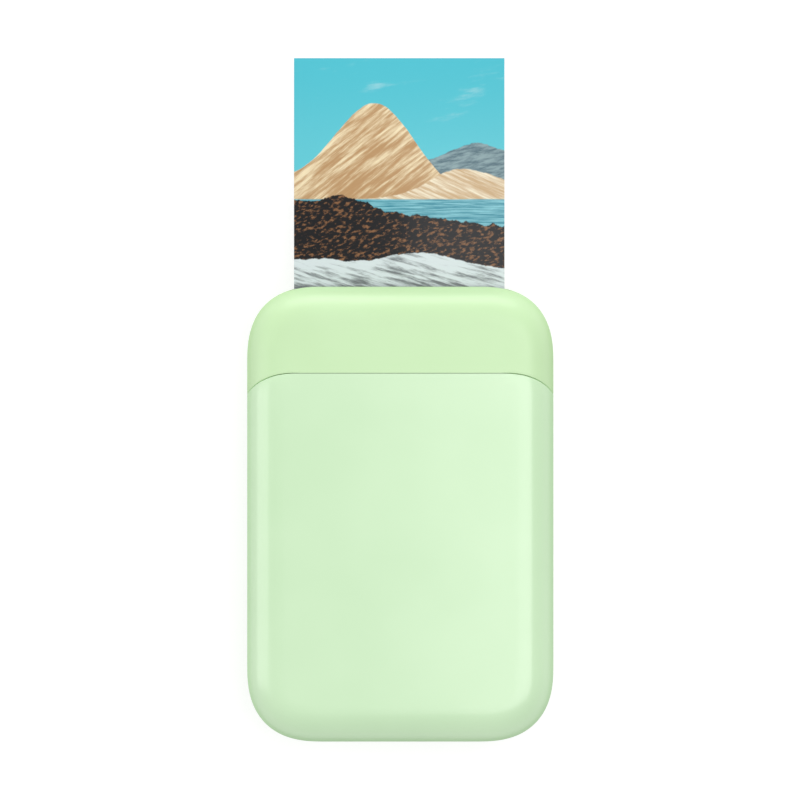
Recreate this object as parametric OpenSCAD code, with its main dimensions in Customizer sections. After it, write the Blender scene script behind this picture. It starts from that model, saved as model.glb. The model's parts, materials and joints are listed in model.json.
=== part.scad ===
// Pocket photo printer for 2 x 3 inch heat-developed paper.
// It lies on its back: +Z is out of the front cover, +Y is the way a print leaves.
// The origin is the centre of the foot ring, on the surface the printer rests on.

/* [Body] */
// Width across the body
body_w = 74; // [73:0.5:80]
// Length of the body along the paper path
body_l = 110; // [110:0.5:116]
// Height from the table to the front cover's face
body_h = 23; // [23:0.5:26]
// Radius of the four corners, seen from the front
corner_r = 15.4; // [14:0.1:16]
// Width of the rolled edge on the front, seen from the front
front_roll = 6.5; // [5:0.1:8]
// Width of the rolled edge on the back
back_roll = 6; // [5:0.1:8]
// Thickness of the moulded shells
wall = 1.6; // [1.4:0.1:1.8]
// Height of the line where front and back shells meet
part_z = 12; // [12:0.1:12.2]
// How far the foot ring stands out of the base
foot_proud = 0.5; // [0.3:0.1:0.6]

/* [Seam] */
// Place of the straight run of the seam between cover and cap
seam_y = 33.9; // [33:0.1:35]
// Half length of that straight run
seam_half = 25.5; // [24:0.1:27]
// How far the seam drops at its two curved ends
seam_drop = 5; // [3:0.1:6]
// Reach of the ellipse that the curved ends follow, against their own width
seam_reach = 1.1; // [1.02:0.01:1.5]
// Open gap between neighbouring shells
shell_gap = 0.2; // [0.15:0.05:0.3]

/* [Paper] */
// Width of a sheet
sheet_w = 50.8; // [50:0.1:51]
// Length of a sheet
sheet_l = 76.2; // [74:0.1:76.4]
// Thickness of a sheet
sheet_t = 0.25; // [0.2:0.01:0.25]
// Height of the paper path
sheet_z = 14; // [14:0.05:14.1]
// Length of print standing out of the body
print_out = 55; // [40:0.5:57]
// How far the print stands off the body's middle line
print_shift = -0.25; // [-0.25:0.05:0.25]
// Sheets waiting in the tray
stack_count = 10; // [2:1:10]

/* [Hinge] */
// Radius of the hinge barrel
barrel_r = 1.9; // [1.8:0.05:2]
// Radius of the hinge pin
pin_r = 0.75; // [0.6:0.05:0.8]

/* [Drive] */
// Module of every gear
gear_module = 0.4; // [0.4:0.01:0.41]
// Radius of the platen roller, over its rubber
platen_r = 3.2; // [3:0.1:3.2]
// Radius of the pick roller, over its tyres
pick_r = 4; // [3.9:0.1:4]
// Distance of the print line from the body's centre
nip_y = 43; // [42.9:0.1:43]

/* [Hidden] */

mint = "#d3f3cb";
mint_cap = "#c9ecbf";
inner_grey = "#e9ebea";
dark_grey = "#3b3d40";
steel = "#b9bcc0";
rubber_grey = "#55585b";
gear_white = "#efeee6";
board_green = "#2d6b4a";

eps = 0.01;
slack = 0.05;
fit = 0.02;
over = 1;
round_fn = 48;
corner_fn = 96;
roll_steps = 9;
seam_steps = 6;

base_z = foot_proud;
floor_z = base_z + wall;
roof_z = body_h - wall;
corner_x = body_w / 2 - corner_r;
corner_y = body_l / 2 - corner_r;

// Hinge at the end away from the slot, its barrel just inside the end wall
hinge_y = -body_l / 2 + barrel_r;
hinge_z = part_z;
barrel_half = 29;
knuckle_x0 = 16.1;
knuckle_x1 = 21.1;
hinge_relief = 2.3;
pin_half = 20.9;
knuckle_foot = 2;

// Tray and paper
side_in = sheet_w / 2 + 0.4;
side_t = 1.4;
side_out = side_in + side_t;
deck_top = sheet_z - 0.1;
deck_t = 1.5;
deck_z = deck_top - deck_t;
deck_half = 33;
deck_y0 = -43;
tray_y0 = -50.4;
tray_wall_z = 17.9;
tray_end_z = 16.4;
tray_end_t = 1.5;
side_plate_z1 = 17.8;
stack_y0 = -48.4;
stack_z0 = sheet_z + sheet_t + 0.1;
stack_z1 = stack_z0 + stack_count * sheet_t;
print_y1 = body_l / 2 + print_out;
mech_y0 = 13;
bezel_z0 = 18.1;
bezel_z1 = 19.2;
bezel_y1 = 36;
bezel_r = 11.4;
bezel_lip = 1.2;
bezel_skirt = 7;
flange_x = 34.8;
flange_y = [-38, 34.8];
flange_t = 0.8;

// Rollers, gears and motor, as [y, z] of their axes
platen_at = [nip_y, sheet_z - slack - platen_r];
pick_at = [20, sheet_z - slack - pick_r];
mesh_play = 0.02;
platen_teeth = 20;
idler_teeth = 35;
pick_teeth = 25;
drive_teeth = 22;
small_teeth = 12;
large_teeth = 32;
pinion_teeth = 12;
function pitch(teeth) = gear_module * teeth / 2;
function reach(from, to, d) = from + (to - from) / norm(to - from) * d;
idler_at = reach(platen_at, pick_at, pitch(platen_teeth) + pitch(idler_teeth) + mesh_play / 2);
reduction_at = platen_at - [pitch(drive_teeth) + pitch(small_teeth) + mesh_play, 0];
motor_reach = pitch(large_teeth) + pitch(pinion_teeth) + mesh_play;
motor_z = 6.8;
motor_at = [
    reduction_at[0] - sqrt(motor_reach ^ 2 - (reduction_at[1] - motor_z) ^ 2),
    motor_z];
layer_a = side_out + 0.4;
layer_b = layer_a + 1.9;
gear_w = 1.6;
plate_cut = [20, 40];
shaft_r = 1.5;
bushing_r = 2.2;
stub_r = 0.8;
stub_tip = 0.3;
motor_r = 4.2;
motor_len = 14;
motor_shaft_r = 0.5;
motor_collar_r = 1.5;
motor_plate_t = 0.76;
motor_screw_at = 3;
motor_screw_r = 0.45;

// Thermal head, sprung down on the platen about a pivot on the tray side
pivot_at = [33.5, 16.6];
pivot_r = 0.9;
head_z = sheet_z + sheet_t + slack;
head_half = side_in - 0.3;
head_y0 = 40;
head_y1 = 47.2;
heat_line = 0.5;
sink_y0 = 38.5;
sink_y1 = 48.5;
sink_z0 = 15.4;
sink_z1 = 17.6;
bridge_z = 20;
bridge_t = 1;
bridge_half = 2;
fin_pitch = 1.05;
fin_gap = 0.25;
head_spring_x = 14;
flex_x = 32.9;
flex_end = 17.5;
flex_play = 0.3;

// Side wall fittings
port_y = -24;
port_z = 8.2;
button_y = -4;
button_l = 9;
button_h = 3.6;
button_rim = 0.7;
button_play = 0.15;
side_cut = 33;
light_y = 6;
light_r = 0.9;
board_z = 5.6;
board_t = 1;
board_x0 = 6;
board_x1 = 33.8;
board_y0 = -36;
board_y1 = 8;
board_top = board_z + board_t;

// Screws: [x, y] of each
case_at = [[30, -42.5], [30, 10.6]];
case_boss_r = 2.4;
case_boss_z = 5;
case_head_z = 2.4;
clip_y0 = 35.5;
clip_y1 = 39;
clip_x = 34.7;
clip_ledge_z = 9.6;
clip_w = 1.1;
bezel_posts = [[29.4, -36], [29.4, 4]];
bezel_post_r = 1.9;
screw_r = 0.8;
screw_hole = 0.85;
thread_hole = 0.75;
thread_r = 0.73;
head_r = 1.6;
board_posts = [[9, -33], [9, 5]];
board_post_r = 1.8;

plate_posts_y = [-28, 12];
post_r = 1.4;
plate_z = stack_z1 + slack;
plate_t = 1;
magnet_at = [29.2, 24];
magnet_r = 2;
magnet_t = 1.2;
magnet_gap = 0.2;
keeper_t = 0.7;

// ---------- Shared shapes ----------

// Points of a rolled edge: [distance from the corner's centre, height]
function roll_profile(inset, roll, rise, way) = concat(
    [[0, part_z]],
    [for (i = [0:roll_steps]) let (t = 90 * i / roll_steps)
        [corner_r - inset - (roll - inset) * (1 - cos(t)), part_z + way * (rise - inset) * sin(t)]],
    [[0, part_z + way * (rise - inset)]]);

// A slab with rounded corners whose edge follows the profile
module rolled_slab(profile, z0, z1) {
    for (q = [0:3]) {
        a = q % 2 == 0 ? corner_x : corner_y;
        b = q % 2 == 0 ? corner_y : corner_x;
        rotate([0, 0, 90 * q]) translate([a, b, 0]) {
            rotate_extrude(angle = 90, $fn = corner_fn) polygon(profile);
            rotate([90, 0, 0]) linear_extrude(2 * b) polygon(profile);
        }
    }
    translate([-corner_x, -corner_y, z0]) cube([2 * corner_x, 2 * corner_y, z1 - z0]);
}

// The front half of the body, drawn in by inset all over
module front_half(inset) {
    top = body_h - inset;
    rolled_slab(roll_profile(inset, front_roll, body_h - part_z, 1), part_z, top);
}

// The back half of the body, drawn in by inset all over
module back_half(inset) {
    bottom = base_z + inset;
    rolled_slab(roll_profile(inset, back_roll, part_z - base_z, -1), bottom, part_z);
}

// Drop of an ellipse quarter, as a share of its height, at a share of its reach
function fall(share) = 1 - sqrt(1 - share ^ 2);

function seam_at(x) = let (run = body_w / 2 - seam_half, past = max(0, abs(x) - seam_half))
    seam_y - seam_drop * fall(past / run / seam_reach) / fall(1 / seam_reach);

// Plan area on the hinge side of the seam, shifted along Y
module seam_side(shift) {
    edge = body_w / 2;
    run = edge - seam_half;
    arc = [for (i = [0:seam_steps]) seam_half + run * sin(90 * i / seam_steps)];
    right = [for (i = [seam_steps:-1:0]) [arc[i], seam_at(arc[i]) + shift]];
    left = [for (i = [0:seam_steps]) [-arc[i], seam_at(arc[i]) + shift]];
    polygon(concat([[-edge - 1, -body_l], [edge + 1, -body_l], [edge + 1, right[0][1]]],
        right, left, [[-edge - 1, right[0][1]]]));
}

// A block centred on X and Y, standing on z0
module block(x0, x1, y0, y1, z0, z1) {
    translate([x0, y0, z0]) cube([x1 - x0, y1 - y0, z1 - z0]);
}

// A post or drill standing on z0
module post(at, r, z0, z1) {
    translate([at[0], at[1], z0]) cylinder(r = r, h = z1 - z0, $fn = round_fn);
}

// A cylinder along X through [y, z], from x0 to x1
module axle(at, r, x0, x1) {
    translate([x0, at[0], at[1]]) rotate([0, 90, 0]) cylinder(r = r, h = x1 - x0, $fn = round_fn);
}

// Both sides of the printer
module pair() {
    children();
    mirror([1, 0, 0]) children();
}

// A rounded rectangle from squares and circles
module round_rect(w, l, r) {
    square([w - 2 * r, l], center = true);
    square([w, l - 2 * r], center = true);
    for (x = [-1, 1], y = [-1, 1])
        translate([x * (w / 2 - r), y * (l / 2 - r)]) circle(r = r, $fn = round_fn);
}

// A round-ended slot in the Y-Z plane, pushed along X from x0 to x1
module side_slot(y, z, l, h, x0, x1) {
    translate([x0, y, z]) rotate([90, 0, 90]) linear_extrude(x1 - x0) {
        square([l - h, h], center = true);
        for (s = [-1, 1]) translate([s * (l - h) / 2, 0]) circle(d = h, $fn = round_fn);
    }
}

// A screw standing head down on z0, with a cross recess
module screw(at, z0, length, head, head_h) {
    recess = head * 0.55;
    slit = 0.35;
    difference() {
        union() {
            post(at, head, z0, z0 + head_h);
            post(at, screw_r, z0 + head_h - eps, z0 + length);
        }
        for (turn = [0, 90]) translate([at[0], at[1], z0]) rotate([0, 0, turn])
            cube([2 * recess, slit, head_h], center = true);
    }
}

// Coil spring along Z, as one swept tube
module coil(at, z0, height, coil_r, wire_r, turns) {
    sides = 6;
    per_turn = 14;
    rings = turns * per_turn;
    ring = [for (i = [0:rings], k = [0:sides - 1]) let (
            turn = 360 * i / per_turn,
            bend = 360 * k / sides,
            rr = coil_r + wire_r * cos(bend),
            zz = wire_r + (height - 2 * wire_r) * i / rings + wire_r * sin(bend))
        [rr * cos(turn), rr * sin(turn), zz]];
    skin = [for (i = [0:rings - 1], k = [0:sides - 1]) let (n = (k + 1) % sides)
        [i * sides + k, i * sides + n, (i + 1) * sides + n, (i + 1) * sides + k]];
    first = [for (k = [sides - 1:-1:0]) k];
    last = [for (k = [0:sides - 1]) rings * sides + k];
    translate([at[0], at[1], z0]) polyhedron(ring, concat(skin, [first, last]), convexity = 6);
}

// ---------- Gears ----------

pressure = 20;
gear_play = 0.07;
flank_steps = 3;

// Involute function in degrees at radius r of a gear with base radius rb
function involute(r, rb) = let (a = acos(min(1, rb / r))) tan(a) * 180 / PI - a;

// Radii at which a flank has a point, from root to tip
function flank_radii(teeth) = let (
        rp = pitch(teeth),
        rb = rp * cos(pressure),
        tip = rp + 0.92 * gear_module,
        root = rp - 1.25 * gear_module,
        low = max(root, rb))
    concat(root < rb ? [root] : [],
        [for (i = [0:flank_steps]) low + (tip - low) * i / flank_steps]);

// Half the angle that a tooth takes at radius r
function half_tooth(teeth, r) = let (rp = pitch(teeth), rb = rp * cos(pressure))
    90 / teeth - gear_play / 2 / rp * 180 / PI + involute(rp, rb) - involute(r, rb);

// Outline of a gear with a tooth centred on the angle phase
module gear_outline(teeth, phase) {
    radii = flank_radii(teeth);
    last = len(radii) - 1;
    polygon([for (k = [0:teeth - 1], side = [-1, 1], i = [0:last]) let (
            r = radii[side < 0 ? i : last - i],
            a = phase + 360 * k / teeth + side * half_tooth(teeth, r))
        [r * cos(a), r * sin(a)]]);
}

// A gear along X, at [y, z], from x0 over the gear width
module gear(at, teeth, phase, x0) {
    translate([x0, at[0], at[1]]) rotate([90, 0, 90]) linear_extrude(gear_w)
        gear_outline(teeth, phase);
}

function bearing(from, to) = atan2(to[1] - from[1], to[0] - from[0]);

// Phase of a gear that meshes with one already placed
function meshed(at, teeth, phase, next_at, next_teeth) = let (
        line = bearing(at, next_at),
        here = (line - phase) * teeth / 360)
    line + 180 - (0.5 - here) * 360 / next_teeth;

idler_phase = meshed(platen_at, platen_teeth, 0, idler_at, idler_teeth);
pick_phase = meshed(idler_at, idler_teeth, idler_phase, pick_at, pick_teeth);
small_phase = meshed(platen_at, drive_teeth, 0, reduction_at, small_teeth);
pinion_phase = meshed(reduction_at, large_teeth, 0, motor_at, pinion_teeth);

// ---------- Shells ----------

// Big glossy front shell, hinged at the end away from the slot
module front_cover() color(mint) {
    roof = roof_z + eps;
    difference() {
        union() {
            intersection() {
                difference() {
                    front_half(0);
                    front_half(wall);
                }
                translate([0, 0, part_z + shell_gap / 2]) linear_extrude(body_h)
                    seam_side(-shell_gap / 2);
            }
            intersection() {
                axle([hinge_y, hinge_z], barrel_r, -barrel_half, barrel_half);
                barrel_outline();
            }
            pair() post(magnet_at, magnet_r + 0.8, bezel_z1 + magnet_gap, roof);
            for (y = plate_posts_y) post([0, y], post_r + 1, bezel_z1, roof);
        }
        pair() {
            axle([hinge_y, hinge_z], barrel_r + shell_gap, knuckle_x0 - shell_gap,
                knuckle_x1 + shell_gap);
            post(magnet_at, magnet_r + slack, bezel_z1, bezel_z1 + magnet_gap + magnet_t + 0.1);
        }
        axle([hinge_y, hinge_z], pin_r + slack, -knuckle_x1, knuckle_x1);
        for (y = plate_posts_y) post([0, y], post_r + slack, bezel_z1 - over, roof_z - 0.1);
    }
}

// Plan outline of the body, used to trim the barrel's ends to the corners
module barrel_outline() {
    half_h = barrel_r + over;
    translate([0, 0, part_z - half_h]) linear_extrude(2 * half_h)
        round_rect(body_w - fit, body_l - fit, corner_r);
}

// Fixed front shell over the print head, with the paper slot in its end
module top_cap() color(mint_cap) {
    slot_half = 26.7;
    slot_z = [13.2, 15.2];
    lip_half = 28;
    lip_y1 = seam_y + 3;
    difference() {
        union() {
            difference() {
                difference() {
                    front_half(0);
                    front_half(wall);
                }
                translate([0, 0, part_z - over]) linear_extrude(body_h) seam_side(shell_gap / 2);
            }
            block(-lip_half, lip_half, seam_y - 2, lip_y1, roof_z - 1.2, roof_z - 0.2);
            block(-lip_half, lip_half, seam_y + 0.5, lip_y1, roof_z - 0.5, roof_z + eps);
            pair() cap_clip();
        }
        block(-slot_half, slot_half, body_l / 2 - 4, body_l / 2 + over, slot_z[0], slot_z[1]);
    }
}

// Hook on the cap that snaps under a ledge of the rear housing
module cap_clip() {
    stem_x = clip_x - clip_w;
    stem_z = clip_ledge_z - 1;
    root_z = part_z + shell_gap;
    block(stem_x, body_w / 2 - clip_w - 0.1, clip_y0, clip_y1, root_z, root_z + 2);
    block(stem_x, clip_x - 0.1, clip_y0, clip_y1, stem_z, part_z + 1);
    block(stem_x, clip_x + 0.2, clip_y0, clip_y1, stem_z, clip_ledge_z - 0.1);
}

// Back shell, with the base, the side wall openings and the fixed hinge knuckles
module rear_housing() color(mint) {
    barrel = [hinge_y, hinge_z];
    lip_z = hinge_z - hinge_relief;
    rim = part_z - shell_gap / 2;
    room = 0.3;
    root_z = lip_z - knuckle_foot;
    back_rib_y = -50.6;
    difference() {
        union() {
            difference() {
                back_half(0);
                back_half(wall);
                block(-body_w, body_w, -body_l, body_l, rim, part_z + over);
                block(-barrel_half - room, barrel_half + room, -body_l, hinge_y + barrel_r + room,
                    lip_z, part_z + over);
            }
            pair() {
                axle(barrel, barrel_r, knuckle_x0, knuckle_x1);
                block(knuckle_x0, knuckle_x1, hinge_y + 0.5, hinge_y + barrel_r, root_z, hinge_z);
                block(knuckle_x0, knuckle_x1, hinge_y - 1, hinge_y + barrel_r, root_z, lip_z);
                for (at = case_at) post(at, case_boss_r, floor_z - 0.5, case_boss_z);
                block(clip_x, body_w / 2 - 1, clip_y0 - 1, clip_y1, clip_ledge_z, clip_ledge_z + 1);
            }
            for (at = board_posts) post(at, board_post_r, floor_z - 0.5, board_z);
            battery_ribs();
            block(-rib_x, rib_x, back_rib_y, back_rib_y + 1, floor_z - rib_root, lip_z);
        }
        foot_groove();
        axle(barrel, pin_r + fit, -knuckle_x1 - over, knuckle_x1 + over);
        pair() {
            for (at = case_at) {
                post(at, screw_hole, 0, case_boss_z + over);
                post(at, head_r + 0.2, 0, case_head_z);
            }
        }
        for (at = board_posts) post(at, thread_hole, floor_z + 0.9, board_z + over);
        side_slot(port_y, port_z, port_l, port_h, side_cut, body_w);
        side_slot(button_y, port_z, button_l + 2 * button_play, button_h + 2 * button_play,
            side_cut, body_w);
        axle([light_y, port_z], light_r + slack, side_cut, body_w);
    }
}

rib_x = 26;
rib_t = 1.2;
rib_z = 4.5;
rib_root = 0.3;
port_l = 9.6;
port_h = 3.8;

// Low ribs that keep the battery in place
module battery_ribs() {
    low = floor_z - rib_root;
    play = 0.2;
    block(battery_x0 - play - 1.4, battery_x0 - play, -30, 0, low, rib_z);
    block(-rib_x, 0, battery_y1 + 0.6, battery_y1 + 0.6 + rib_t, low, rib_z);
    block(-rib_x, 0, battery_y0 - play - rib_t, battery_y0 - play, low, rib_z);
}

foot_w = 56;
foot_l = 92;
foot_band = 3;
foot_r = 9;
foot_sunk = 0.5;

// Plan of the foot ring, grown by a fit
module foot_shape(grow) {
    difference() {
        round_rect(foot_w + 2 * grow, foot_l + 2 * grow, foot_r + grow);
        round_rect(foot_w - 2 * foot_band - 2 * grow, foot_l - 2 * foot_band - 2 * grow,
            foot_r - foot_band - grow);
    }
}

module foot_groove() {
    linear_extrude(base_z + foot_sunk + 0.1) foot_shape(slack);
}

// One rubber ring in a groove of the base
module foot_ring() color(rubber_grey) linear_extrude(base_z + foot_sunk) foot_shape(0);

module hinge_pin() color(steel) axle([hinge_y, hinge_z], pin_r, -pin_half, pin_half);

// Liner of the paper slot, with a nose that shows in the slot
module exit_guide() color(dark_grey) {
    nose_half = 26.4;
    nose_y1 = body_l / 2 - 1;
    body_half = 26.5;
    path_half = 25.95;
    path_h = 0.9;
    y0 = 49.4;
    y1 = 52.4;
    z = sheet_z + 0.2;
    difference() {
        union() {
            block(-nose_half, nose_half, y1 - 0.2, nose_y1, z - 0.9, z + 0.9);
            block(-body_half, body_half, y0, y1, z - 1.8, z + 1.8);
        }
        block(-path_half, path_half, y0 - over, body_l / 2 + over, z - path_h / 2, z + path_h / 2);
        translate([0, y0 - 0.2, z]) rotate([45, 0, 0])
            cube([2 * path_half, 2, 2], center = true);
    }
}

// ---------- Frame and tray ----------

// Tray floor, tray walls and the side plates that carry the rollers
module chassis() color(dark_grey) {
    plate_y1 = 47.4;
    plate_z0 = 2.8;
    wall_root = deck_top - 0.5;
    end_y = stack_y0 - 0.3;
    window = tyre_w / 2 + 0.4;
    difference() {
        union() {
            block(-deck_half, deck_half, deck_y0, mech_y0, deck_z, deck_top);
            block(-side_out, side_out, tray_y0, deck_y0 + 1, deck_z, deck_top);
            block(-side_out, side_out, mech_y0 - 1, nip_y - platen_r - 1, deck_z, deck_top);
            pair() {
                block(side_in, side_out, stack_y0 - 0.2, mech_y0 + 1, wall_root, tray_wall_z);
                block(side_in, side_out, mech_y0, plate_y1, plate_z0, side_plate_z1);
                for (at = bezel_posts) post(at, bezel_post_r, wall_root, bezel_z0);
                for (at = case_at) post(at, 2.2, case_boss_z + 0.1, deck_z + 0.5);
            }
            block(-side_out, side_out, end_y - tray_end_t, end_y, wall_root, tray_end_z);
        }
        for (x = [-tyre_half, tyre_half]) block(x - window, x + window, pick_at[0] - pick_r - 0.4,
            pick_at[0] + pick_r + 0.4, deck_z - over, deck_top + over);
        pair() {
            axle(pick_at, bushing_r + slack, plate_cut[0], plate_cut[1]);
            axle(platen_at, bushing_r + slack, plate_cut[0], plate_cut[1]);
            axle(pivot_at, pivot_r + slack, plate_cut[0], plate_cut[1]);
            for (at = bezel_posts) post(at, thread_hole, deck_top + 0.6, bezel_z0 + over);
            for (at = case_at) post(at, screw_hole, case_boss_z - over, deck_z - 0.4);
        }
        axle(idler_at, stub_r + fit, plate_cut[0], plate_cut[1]);
        axle(reduction_at, stub_r + fit, -plate_cut[1], -plate_cut[0]);
        axle(motor_at, motor_collar_r + 0.1, -plate_cut[1], -plate_cut[0]);
        for (s = [-1, 1]) axle(motor_at + [0, s * motor_screw_at], motor_screw_r + 0.15,
            -plate_cut[1], -plate_cut[0]);
    }
}

// Smooth frame round the paper tray, seen when the cover is open
module tray_bezel() color(inner_grey) {
    y0 = -corner_y - bezel_r + 0.4;
    side = corner_x + bezel_r + over;
    low = bezel_z0 - bezel_skirt;
    foot_z = deck_top + slack;
    top = bezel_z1 + over;
    window = side_in + 0.1;
    difference() {
        union() {
            difference() {
                bezel_block(0, foot_z, bezel_z1, y0);
                bezel_block(bezel_lip, low + over, bezel_z0, y0);
            }
            pair() {
                for (at = bezel_posts) post(at, bezel_post_r, bezel_z0 - fit, bezel_z0 + eps);
                block(flange_x - 3, flange_x, flange_y[0], flange_y[1], foot_z, foot_z + flange_t);
            }
        }
        block(-window, window, stack_y0 - 0.4, stack_y0 + sheet_l + 0.5, low, top);
        block(-side, side, -body_l, -42.5, low, tray_end_z + 0.1);
        block(-side, side, bezel_y1 - bezel_lip - 0.1, body_l, low, bezel_z0);
        pair() {
            post(magnet_at, magnet_r + 0.25, bezel_z1 - keeper_t, top);
            for (at = bezel_posts) {
                post(at, screw_hole, bezel_z0 - over, top);
                post(at, bezel_head_r + 0.1, bezel_z1 - bezel_head_t, top);
            }
        }
    }
}

// Rounded block that follows the body's corners at the hinge end
module bezel_block(inset, z0, z1, y0) {
    half = corner_x + bezel_r - inset;
    r = bezel_r - inset;
    translate([0, 0, z0]) linear_extrude(z1 - z0) {
        for (s = [-1, 1]) translate([s * corner_x, y0 + bezel_r]) circle(r = r, $fn = corner_fn);
        translate([-corner_x, y0 + inset]) square([2 * corner_x, bezel_r]);
        translate([-half, y0 + bezel_r]) square([2 * half, bezel_y1 - inset - y0 - bezel_r]);
    }
}

module cover_magnets() color(steel) translate([0, 0, bezel_z1 + magnet_gap])
    pair() post(magnet_at, magnet_r, 0, magnet_t);

module keeper_plates() color(steel)
    pair() post(magnet_at, magnet_r + 0.2, bezel_z1 - keeper_t, bezel_z1);

// Plate under the cover that holds the paper down on the pick roller
module pressure_plate() color(inner_grey) {
    half = 23;
    y0 = -40;
    y1 = 24;
    top = plate_z + plate_t;
    rib = 0.6;
    difference() {
        union() {
            block(-half, half, y0, y1, plate_z, top);
            for (y = plate_posts_y) post([0, y], post_r, top - eps, roof_z - 1.1);
            for (x = [-18, 18]) block(x - rib, x + rib, y0 + 3, y1 - 3, top - eps, top + rib);
        }
        for (x = [-11, 11], y = [-30, -8, 14]) translate([x, y, plate_z - over])
            linear_extrude(plate_t + 2 * over) round_rect(9, 14, 2);
    }
}

module plate_springs() color(steel) for (y = plate_posts_y)
    coil([0, y], plate_z + plate_t, roof_z - plate_z - plate_t, 3.1, 0.22, 4);

module paper_stack() color("white")
    block(-sheet_w / 2, sheet_w / 2, stack_y0, stack_y0 + sheet_l, stack_z0, stack_z1);

module print_sheet() color("#5ac6d8") translate([print_shift, 0, 0])
    block(-sheet_w / 2, sheet_w / 2, print_y1 - sheet_l, print_y1, sheet_z, sheet_z + sheet_t);

// ---------- Rollers and gears ----------

tyre_half = 5;
tyre_w = 6;
sleeve_half = head_half - 0.6;

module pick_shaft() color(steel) axle(pick_at, shaft_r, -side_out - stub_tip, layer_a + gear_w);

module pick_tyres() color(rubber_grey) for (x = [-tyre_half, tyre_half]) difference() {
    axle(pick_at, pick_r, x - tyre_w / 2, x + tyre_w / 2);
    axle(pick_at, shaft_r + fit, x - tyre_w, x + tyre_w);
}

module pick_gear() color(gear_white) difference() {
    gear(pick_at, pick_teeth, pick_phase, layer_a);
    axle(pick_at, shaft_r + fit, plate_cut[0], plate_cut[1]);
}

// Ring bearing in each side plate
module bushing_pair(at) pair() difference() {
    union() {
        axle(at, bushing_r, side_in + slack, side_out);
        axle(at, bushing_r + 0.2, side_in - 0.35, side_in - fit);
    }
    axle(at, shaft_r + slack, plate_cut[0], plate_cut[1]);
}

module pick_bushings() color(gear_white) bushing_pair(pick_at);

module platen_bushings() color(gear_white) bushing_pair(platen_at);

module platen_shaft() color(steel)
    axle(platen_at, shaft_r, -layer_a - gear_w, layer_a + gear_w);

module platen_sleeve() color(rubber_grey) difference() {
    axle(platen_at, platen_r, -sleeve_half, sleeve_half);
    axle(platen_at, shaft_r + fit, -plate_cut[1], plate_cut[1]);
}

module platen_gear() color(gear_white) difference() {
    gear(platen_at, platen_teeth, 0, layer_a);
    axle(platen_at, shaft_r + fit, plate_cut[0], plate_cut[1]);
}

module drive_gear() color(gear_white) difference() {
    gear(platen_at, drive_teeth, 0, -layer_a - gear_w);
    axle(platen_at, shaft_r + fit, -plate_cut[1], -plate_cut[0]);
}

module idler_gear() color(gear_white) difference() {
    gear(idler_at, idler_teeth, idler_phase, layer_a);
    axle(idler_at, stub_r + slack, plate_cut[0], plate_cut[1]);
    for (a = [0:60:300])
        axle(idler_at + 4.3 * [cos(a), sin(a)], 1.1, plate_cut[0], plate_cut[1]);
}

// Small and large gear in one, between motor and platen
module reduction_gear() color(gear_white) difference() {
    union() {
        gear(reduction_at, small_teeth, small_phase, -layer_a - gear_w);
        axle(reduction_at, 1.8, -layer_b - eps, -layer_a - gear_w + eps);
        gear(reduction_at, large_teeth, 0, -layer_b - gear_w);
    }
    axle(reduction_at, stub_r + slack, -plate_cut[1], -plate_cut[0]);
    for (a = [0:60:300])
        axle(reduction_at + 4 * [cos(a), sin(a)], 0.9, -plate_cut[1], -layer_b + eps);
}

module gear_pins() color(steel) {
    axle(idler_at, stub_r, side_in + 0.1, layer_a + gear_w + stub_tip);
    axle(reduction_at, stub_r, -layer_b - gear_w - stub_tip, -side_in - 0.1);
}

module motor_pinion() color("#c9a04e") {
    difference() {
        gear(motor_at, pinion_teeth, pinion_phase, -layer_b - gear_w);
        axle(motor_at, motor_shaft_r - 0.1, -layer_b - gear_w - over, -layer_b - gear_w + 0.4);
    }
    axle(motor_at, motor_shaft_r, -layer_b - eps, -side_in + 1.2);
}

module motor_can() color(steel) difference() {
    axle(motor_at, motor_r, -side_in + 0.8, -side_in + 0.8 + motor_len);
    axle(motor_at, motor_shaft_r + slack, -plate_cut[1], -side_in + 2.2);
}

// Front plate of the motor, with its collar in the side plate
module motor_flange() color(steel) difference() {
    union() {
        axle(motor_at, motor_r, -side_in + fit, -side_in + fit + motor_plate_t);
        axle(motor_at, motor_collar_r, -side_out + 0.2, -side_in + 0.1);
    }
    axle(motor_at, motor_shaft_r + slack, -plate_cut[1], -plate_cut[0]);
    for (s = [-1, 1]) axle(motor_at + [0, s * motor_screw_at], motor_screw_r + slack,
        -plate_cut[1], -plate_cut[0]);
}

module motor_screws() color(steel) for (s = [-1, 1]) {
    at = motor_at + [0, s * motor_screw_at];
    axle(at, motor_screw_r, -side_out - fit, -side_in + 0.7);
    axle(at, 2 * motor_screw_r, -side_out - 0.35, -side_out - eps);
}

// ---------- Thermal head ----------

// Ceramic plate with the raised heating line, and the driver's cover behind it
module print_head() color("#d9d2c0") {
    block(-head_half, head_half, head_y0, head_y1, head_z + 0.15, sink_z0 - fit);
    block(-head_half + 1, head_half - 1, nip_y - heat_line, nip_y + heat_line, head_z, head_z + 0.2);
}

// Aluminium plate that carries the head and pivots in the side plates
module heat_sink() color("#a7abb0") {
    difference() {
        union() {
            block(-head_half, head_half, sink_y0, sink_y1, sink_z0, sink_z1);
            pair() block(head_half - 1.8, head_half, pivot_at[0] - 1, sink_y0 + 1, 15.6, sink_z1);
            pair() axle(pivot_at, pivot_r, head_half - eps, side_out);
        }
        for (i = [-4:4]) let (y = nip_y + fin_pitch * i, depth = abs(i) < 2 ? 0.3 : 0.8)
            block(-head_half - over, head_half + over, y - fin_gap, y + fin_gap, sink_z1 - depth,
                sink_z1 + over);
    }
}

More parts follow.
